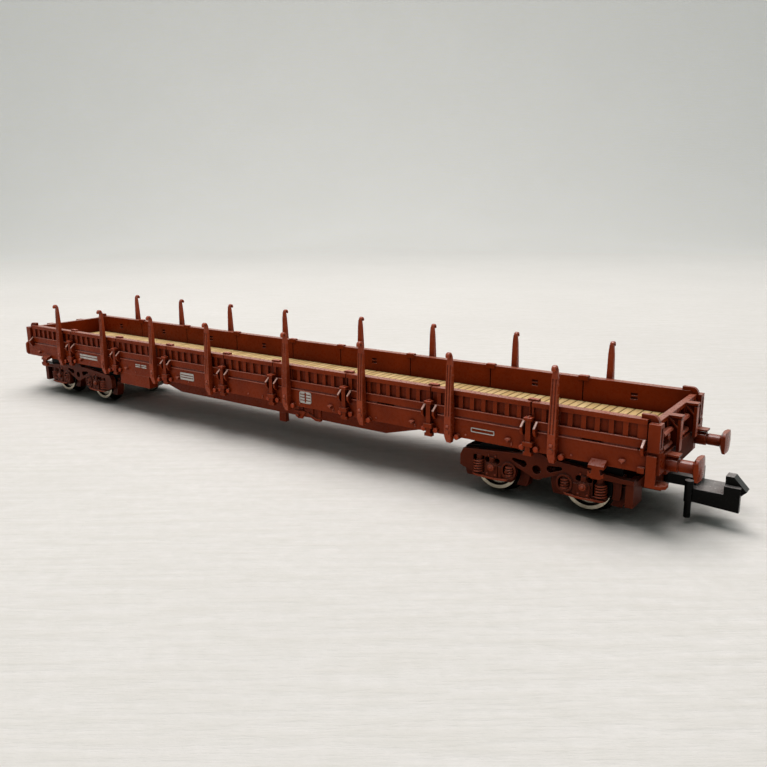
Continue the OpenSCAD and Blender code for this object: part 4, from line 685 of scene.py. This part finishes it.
# Springs of round wire and a keeper strip at each axlebox, in a lighter brown that paints their highlights;
# distances along count away from the pivot
SPRING_Y = 6.78
SPRING_WIRE = 0.095
SPRINGS = ((1.85, 2.62, 4.2, 0.6, 5), (-2.2, 2.82, 4.1, 0.5, 4))
KEEPER = ((-2.25, 2.62), (-1.9, 2.32), (-0.9, 2.2), (0.9, 2.2), (2.2, 2.28), (2.55, 2.48), (2.2, 2.52),
          (0.9, 2.44), (-0.9, 2.44), (-1.8, 2.56))
KEEPER_SUNK = 0.1
KEEPER_OUT = 7.26


def bogie_springs(mesh, end, side):
    pivot = node_middle(f"bogie_pin_{end}").x / MM
    for axle in AXLES:
        middle = node_middle(f"axle_{end}_{axle}").x / MM
        away = math.copysign(1, middle - pivot)
        for along, low, high, radius, turns in SPRINGS:
            coil(mesh, middle + away * along, SIDES[side] * SPRING_Y, low, high, radius, SPRING_WIRE, turns)
        outline = [(middle + away * along, z) for along, z in KEEPER]
        upright(mesh, outline, SIDES[side] * (FRAME_FACE - KEEPER_SUNK), SIDES[side] * KEEPER_OUT)


# Dark plates inside the tops of the side frames, and a cross-piece at the inner end; their near black paints
# the shade under the car
SHIELD = ((-9.5, 4.9), (-9.5, 5.2), (-9.3, 5.62), (-7.9, 5.72), (-7.2, 6.2), (-4.0, 6.2), (-3.2, 5.8),
          (3.2, 5.8), (4.0, 6.25), (9.2, 6.3), (9.5, 6.1), (9.5, 4.9), (8.5, 4.9), (8.5, 2.8), (8.0, 2.8),
          (7.9, 4.9))
SHIELD_FACES = (5.98, 6.2)
HANGER = ((8.5, 2.55), (9.35, 2.55), (9.5, 3.3), (9.5, 4.6), (9.3, 5.15), (8.35, 5.15), (8.52, 4.6),
          (8.62, 3.9), (8.62, 3.2))
HANGER_FACES = (6.02, 6.28)
CROSS_PIECE = ((-9.62, 4.7), (-9.62, 5.35), (-9.45, 5.5), (-9.2, 5.5), (-9.1, 5.4), (-9.1, 4.7))


def shields(mesh, end):
    pivot = node_middle(f"bogie_pin_{end}").x / MM
    for side in SIDES.values():
        outline = [(pivot + ENDS[end] * x, z) for x, z in SHIELD]
        upright(mesh, outline, side * SHIELD_FACES[0], side * SHIELD_FACES[1])
    outline = [(pivot + ENDS[end] * x, z) for x, z in CROSS_PIECE]
    upright(mesh, outline, -SHIELD_FACES[1], SHIELD_FACES[1])


def hangers(mesh, end):
    """Curved plates that carry the outer brake blocks."""
    pivot = node_middle(f"bogie_pin_{end}").x / MM
    for side in SIDES.values():
        outline = [(pivot + ENDS[end] * x, z) for x, z in HANGER]
        upright(mesh, outline, side * HANGER_FACES[0], side * HANGER_FACES[1])


for end in ENDS:
    piece(f"bogie_hangers_{end}", lambda mesh: hangers(mesh, end), f"bogie_{end}", brown)
    piece(f"bogie_shields_{end}", lambda mesh: shields(mesh, end), f"bogie_{end}", unlit)
    for side in SIDES:
        piece(f"bogie_bolts_{end}_{side}", lambda mesh: bogie_bolts(mesh, end, side), f"bogie_{end}",
              painted_lit_brown)
        piece(f"bogie_springs_{end}_{side}", lambda mesh: bogie_springs(mesh, end, side), f"bogie_{end}",
              painted_lit_brown)


# Two upright webs with ribs inside each bogie, between the wheels; X is counted from the pivot
WEB = ((-4.3, 4.9), (-3.6, 3.4), (-1.5, 2.9), (1.5, 2.9), (3.6, 3.4), (4.3, 4.9), (1.5, 5.3), (-1.5, 5.3))
WEB_FACES = (3.05, 3.4)
WEB_RIBS = (-2.4, 0.0, 2.4)
WEB_RIB_HALF = 0.2
WEB_RIB_SPAN = (3.5, 5.0)
WEB_RIB_OUT = 0.15


def inner_webs(mesh, end):
    middle = node_middle(f"bogie_pin_{end}").x / MM
    for side in SIDES.values():
        loft(mesh, [[(middle + x, side * y, z) for x, z in WEB] for y in WEB_FACES])
        for rib in WEB_RIBS:
            low, high = middle + rib - WEB_RIB_HALF, middle + rib + WEB_RIB_HALF
            foot, top = WEB_RIB_SPAN
            slim = ((low, foot), (high, foot), (high, top), (low, top))
            faces = (WEB_FACES[0] - WEB_RIB_OUT, WEB_FACES[0] + WEB_RIB_OUT)
            loft(mesh, [[(x, side * y, z) for x, z in slim] for y in faces])


for end in ENDS:
    piece(f"bogie_inner_webs_{end}", lambda mesh: inner_webs(mesh, end), f"bogie_{end}",
          brown)


# Camera: the photograph's own place and angle

CAMERA_AT = (79.44, -83.09, 33.75)
CAMERA_AZIMUTH = 36.35
CAMERA_PITCH = 13.18
CAMERA_ROLL = -0.59
LENS = 36.0

camera = bpy.data.objects.new("camera", bpy.data.cameras.new("camera"))
bpy.context.scene.collection.objects.link(camera)
camera.data.sensor_width = LENS
camera.data.lens = LENS
camera.data.clip_start = 1 * MM
camera.data.clip_end = 20.0
turn = (Matrix.Rotation(math.radians(CAMERA_AZIMUTH), 4, "Z")
        @ Matrix.Rotation(math.radians(90 - CAMERA_PITCH), 4, "X")
        @ Matrix.Rotation(math.radians(CAMERA_ROLL), 4, "Z"))
camera.matrix_world = Matrix.Translation(Vector(CAMERA_AT) * MM) @ turn
bpy.context.scene.camera = camera


# Stage: a pale paper sweep

def paper(name):
    """Pale paper with a painted contact shadow under the car. Where the lamp's light falls off, it shows a
    share of its colour to the eye by itself.
    """
    made, tree, shader = new_material(name)
    spot = place(tree)
    fibre = noise(tree, spot, 0.6, 5, 0.6)
    tone = noise(tree, spot, 0.02, 2)
    turned = add(tree, "VectorRotate", {"Vector": spot, "Angle": math.radians(-CAMERA_AZIMUTH)},
                 rotation_type="Z_AXIS").outputs["Vector"]
    drawn = add(tree, "VectorMath", {0: turned, 1: (0.09, 0.8, 1)}, operation="MULTIPLY").outputs["Vector"]
    streak = noise(tree, drawn, 1.0, 5, 0.65)
    contact = add(tree, "AmbientOcclusion", {"Distance": 8.0 * MM}, samples=8).outputs["AO"]
    colour = mix(tree, ramp(tree, tone, 0.3, 0.7), linear(229, 225, 221), linear(235, 231, 227))
    colour = mix(tree, ramp(tree, fibre, 0.35, 0.65, 0, 0.5), colour, linear(222, 219, 213))
    colour = mix(tree, ramp(tree, streak, 0.4, 0.7, 0, 0.5), colour, linear(218, 214, 206))
    # Painted contact shadow: the paper darkens where the car stands close above it.
    painted_shade = mix(tree, ramp(tree, contact, 0.2, 0.55), (0.07, 0.06, 0.045, 1), (1, 1, 1, 1))
    colour = mix(tree, 1.0, colour, painted_shade, "MULTIPLY")
    normal = add(tree, "NewGeometry").outputs["Normal"]
    away = add(tree, "VectorMath", {0: spot}, operation="LENGTH").outputs["Value"]
    far = ramp(tree, away, 110, 500, 0, 0.27)
    glow = product(tree, seen_ray(tree), far)
    ridged = bumped(tree, streak, normal, 0.5, 0.5)
    rough = bumped(tree, fibre, ridged, 0.4, 0.2)
    join(tree, shader, Base_Color=colour, Normal=rough, Emission_Strength=glow)
    shader.inputs["Emission Color"].default_value = (1, 1, 0.97, 1)
    shader.inputs["Roughness"].default_value = 0.85
    shader.inputs["Specular IOR Level"].default_value = 0.2
    return made


def sweep():
    """A floor that bends up into a backdrop behind the car and runs on towards the camera."""
    front, back, bend, height, half = -900, 420, 260, 900, 1800
    steps = 16
    outline = [(front, 0.0), (back, 0.0)]
    for i in range(1, steps + 1):
        angle = math.pi / 2 * i / steps
        outline.append((back + bend * math.sin(angle), bend * (1 - math.cos(angle))))
    outline.append((back + bend, height))
    forward = Matrix.Rotation(math.radians(CAMERA_AZIMUTH), 3, "Z")
    points = []
    for depth, rise in outline:
        for across in (-half, half):
            points.append(forward @ Vector((across, depth, 0)) * MM + Vector((0, 0, rise * MM)))
    faces = [(2 * i, 2 * i + 1, 2 * i + 3, 2 * i + 2) for i in range(len(outline) - 1)]
    data = bpy.data.meshes.new("sweep")
    data.from_pydata(points, [], faces)
    for face in data.polygons:
        face.use_smooth = True
    made = bpy.data.objects.new("sweep", data)
    bpy.context.scene.collection.objects.link(made)
    data.materials.append(paper("paper"))


def area_light(name, at, to, size, power):
    data = bpy.data.lights.new(name, "AREA")
    data.shape = "RECTANGLE"
    data.size = size[0] * MM
    data.size_y = size[1] * MM
    data.energy = power
    data.color = LAMP_COLOUR
    made = bpy.data.objects.new(name, data)
    made.location = Vector(at) * MM
    made.rotation_mode = "QUATERNION"
    made.rotation_quaternion = (Vector(to) - Vector(at)).to_track_quat("-Z", "Y")
    bpy.context.scene.collection.objects.link(made)


def studio():
    """A dim even light, which the eye and reflections see as a pale backdrop all round."""
    made = bpy.data.worlds.new("studio")
    made.use_nodes = True
    tree = made.node_tree
    dim = tree.nodes["Background"]
    dim.inputs["Color"].default_value = (0.82, 1.0, 0.98, 1)
    dim.inputs["Strength"].default_value = 0.19
    pale = add(tree, "Background", {"Color": linear(214, 215, 210)})
    shown = add(tree, "MixShader", {0: seen_ray(tree), 1: dim.outputs[0], 2: pale.outputs[0]})
    tree.links.new(shown.outputs[0], tree.nodes["World Output"].inputs["Surface"])
    bpy.context.scene.world = made


LAMP_COLOUR = (1.0, 0.965, 0.955)
LIT_POINT = (0, 0, 5)
sweep()
studio()
area_light("lamp_wide", (-50, 130, 450), LIT_POINT, (400, 333), 1.32)
area_light("lamp_near", (-50, -45, 450), LIT_POINT, (400, 135), 1.08)
bpy.context.scene.view_settings.view_transform = "Standard"
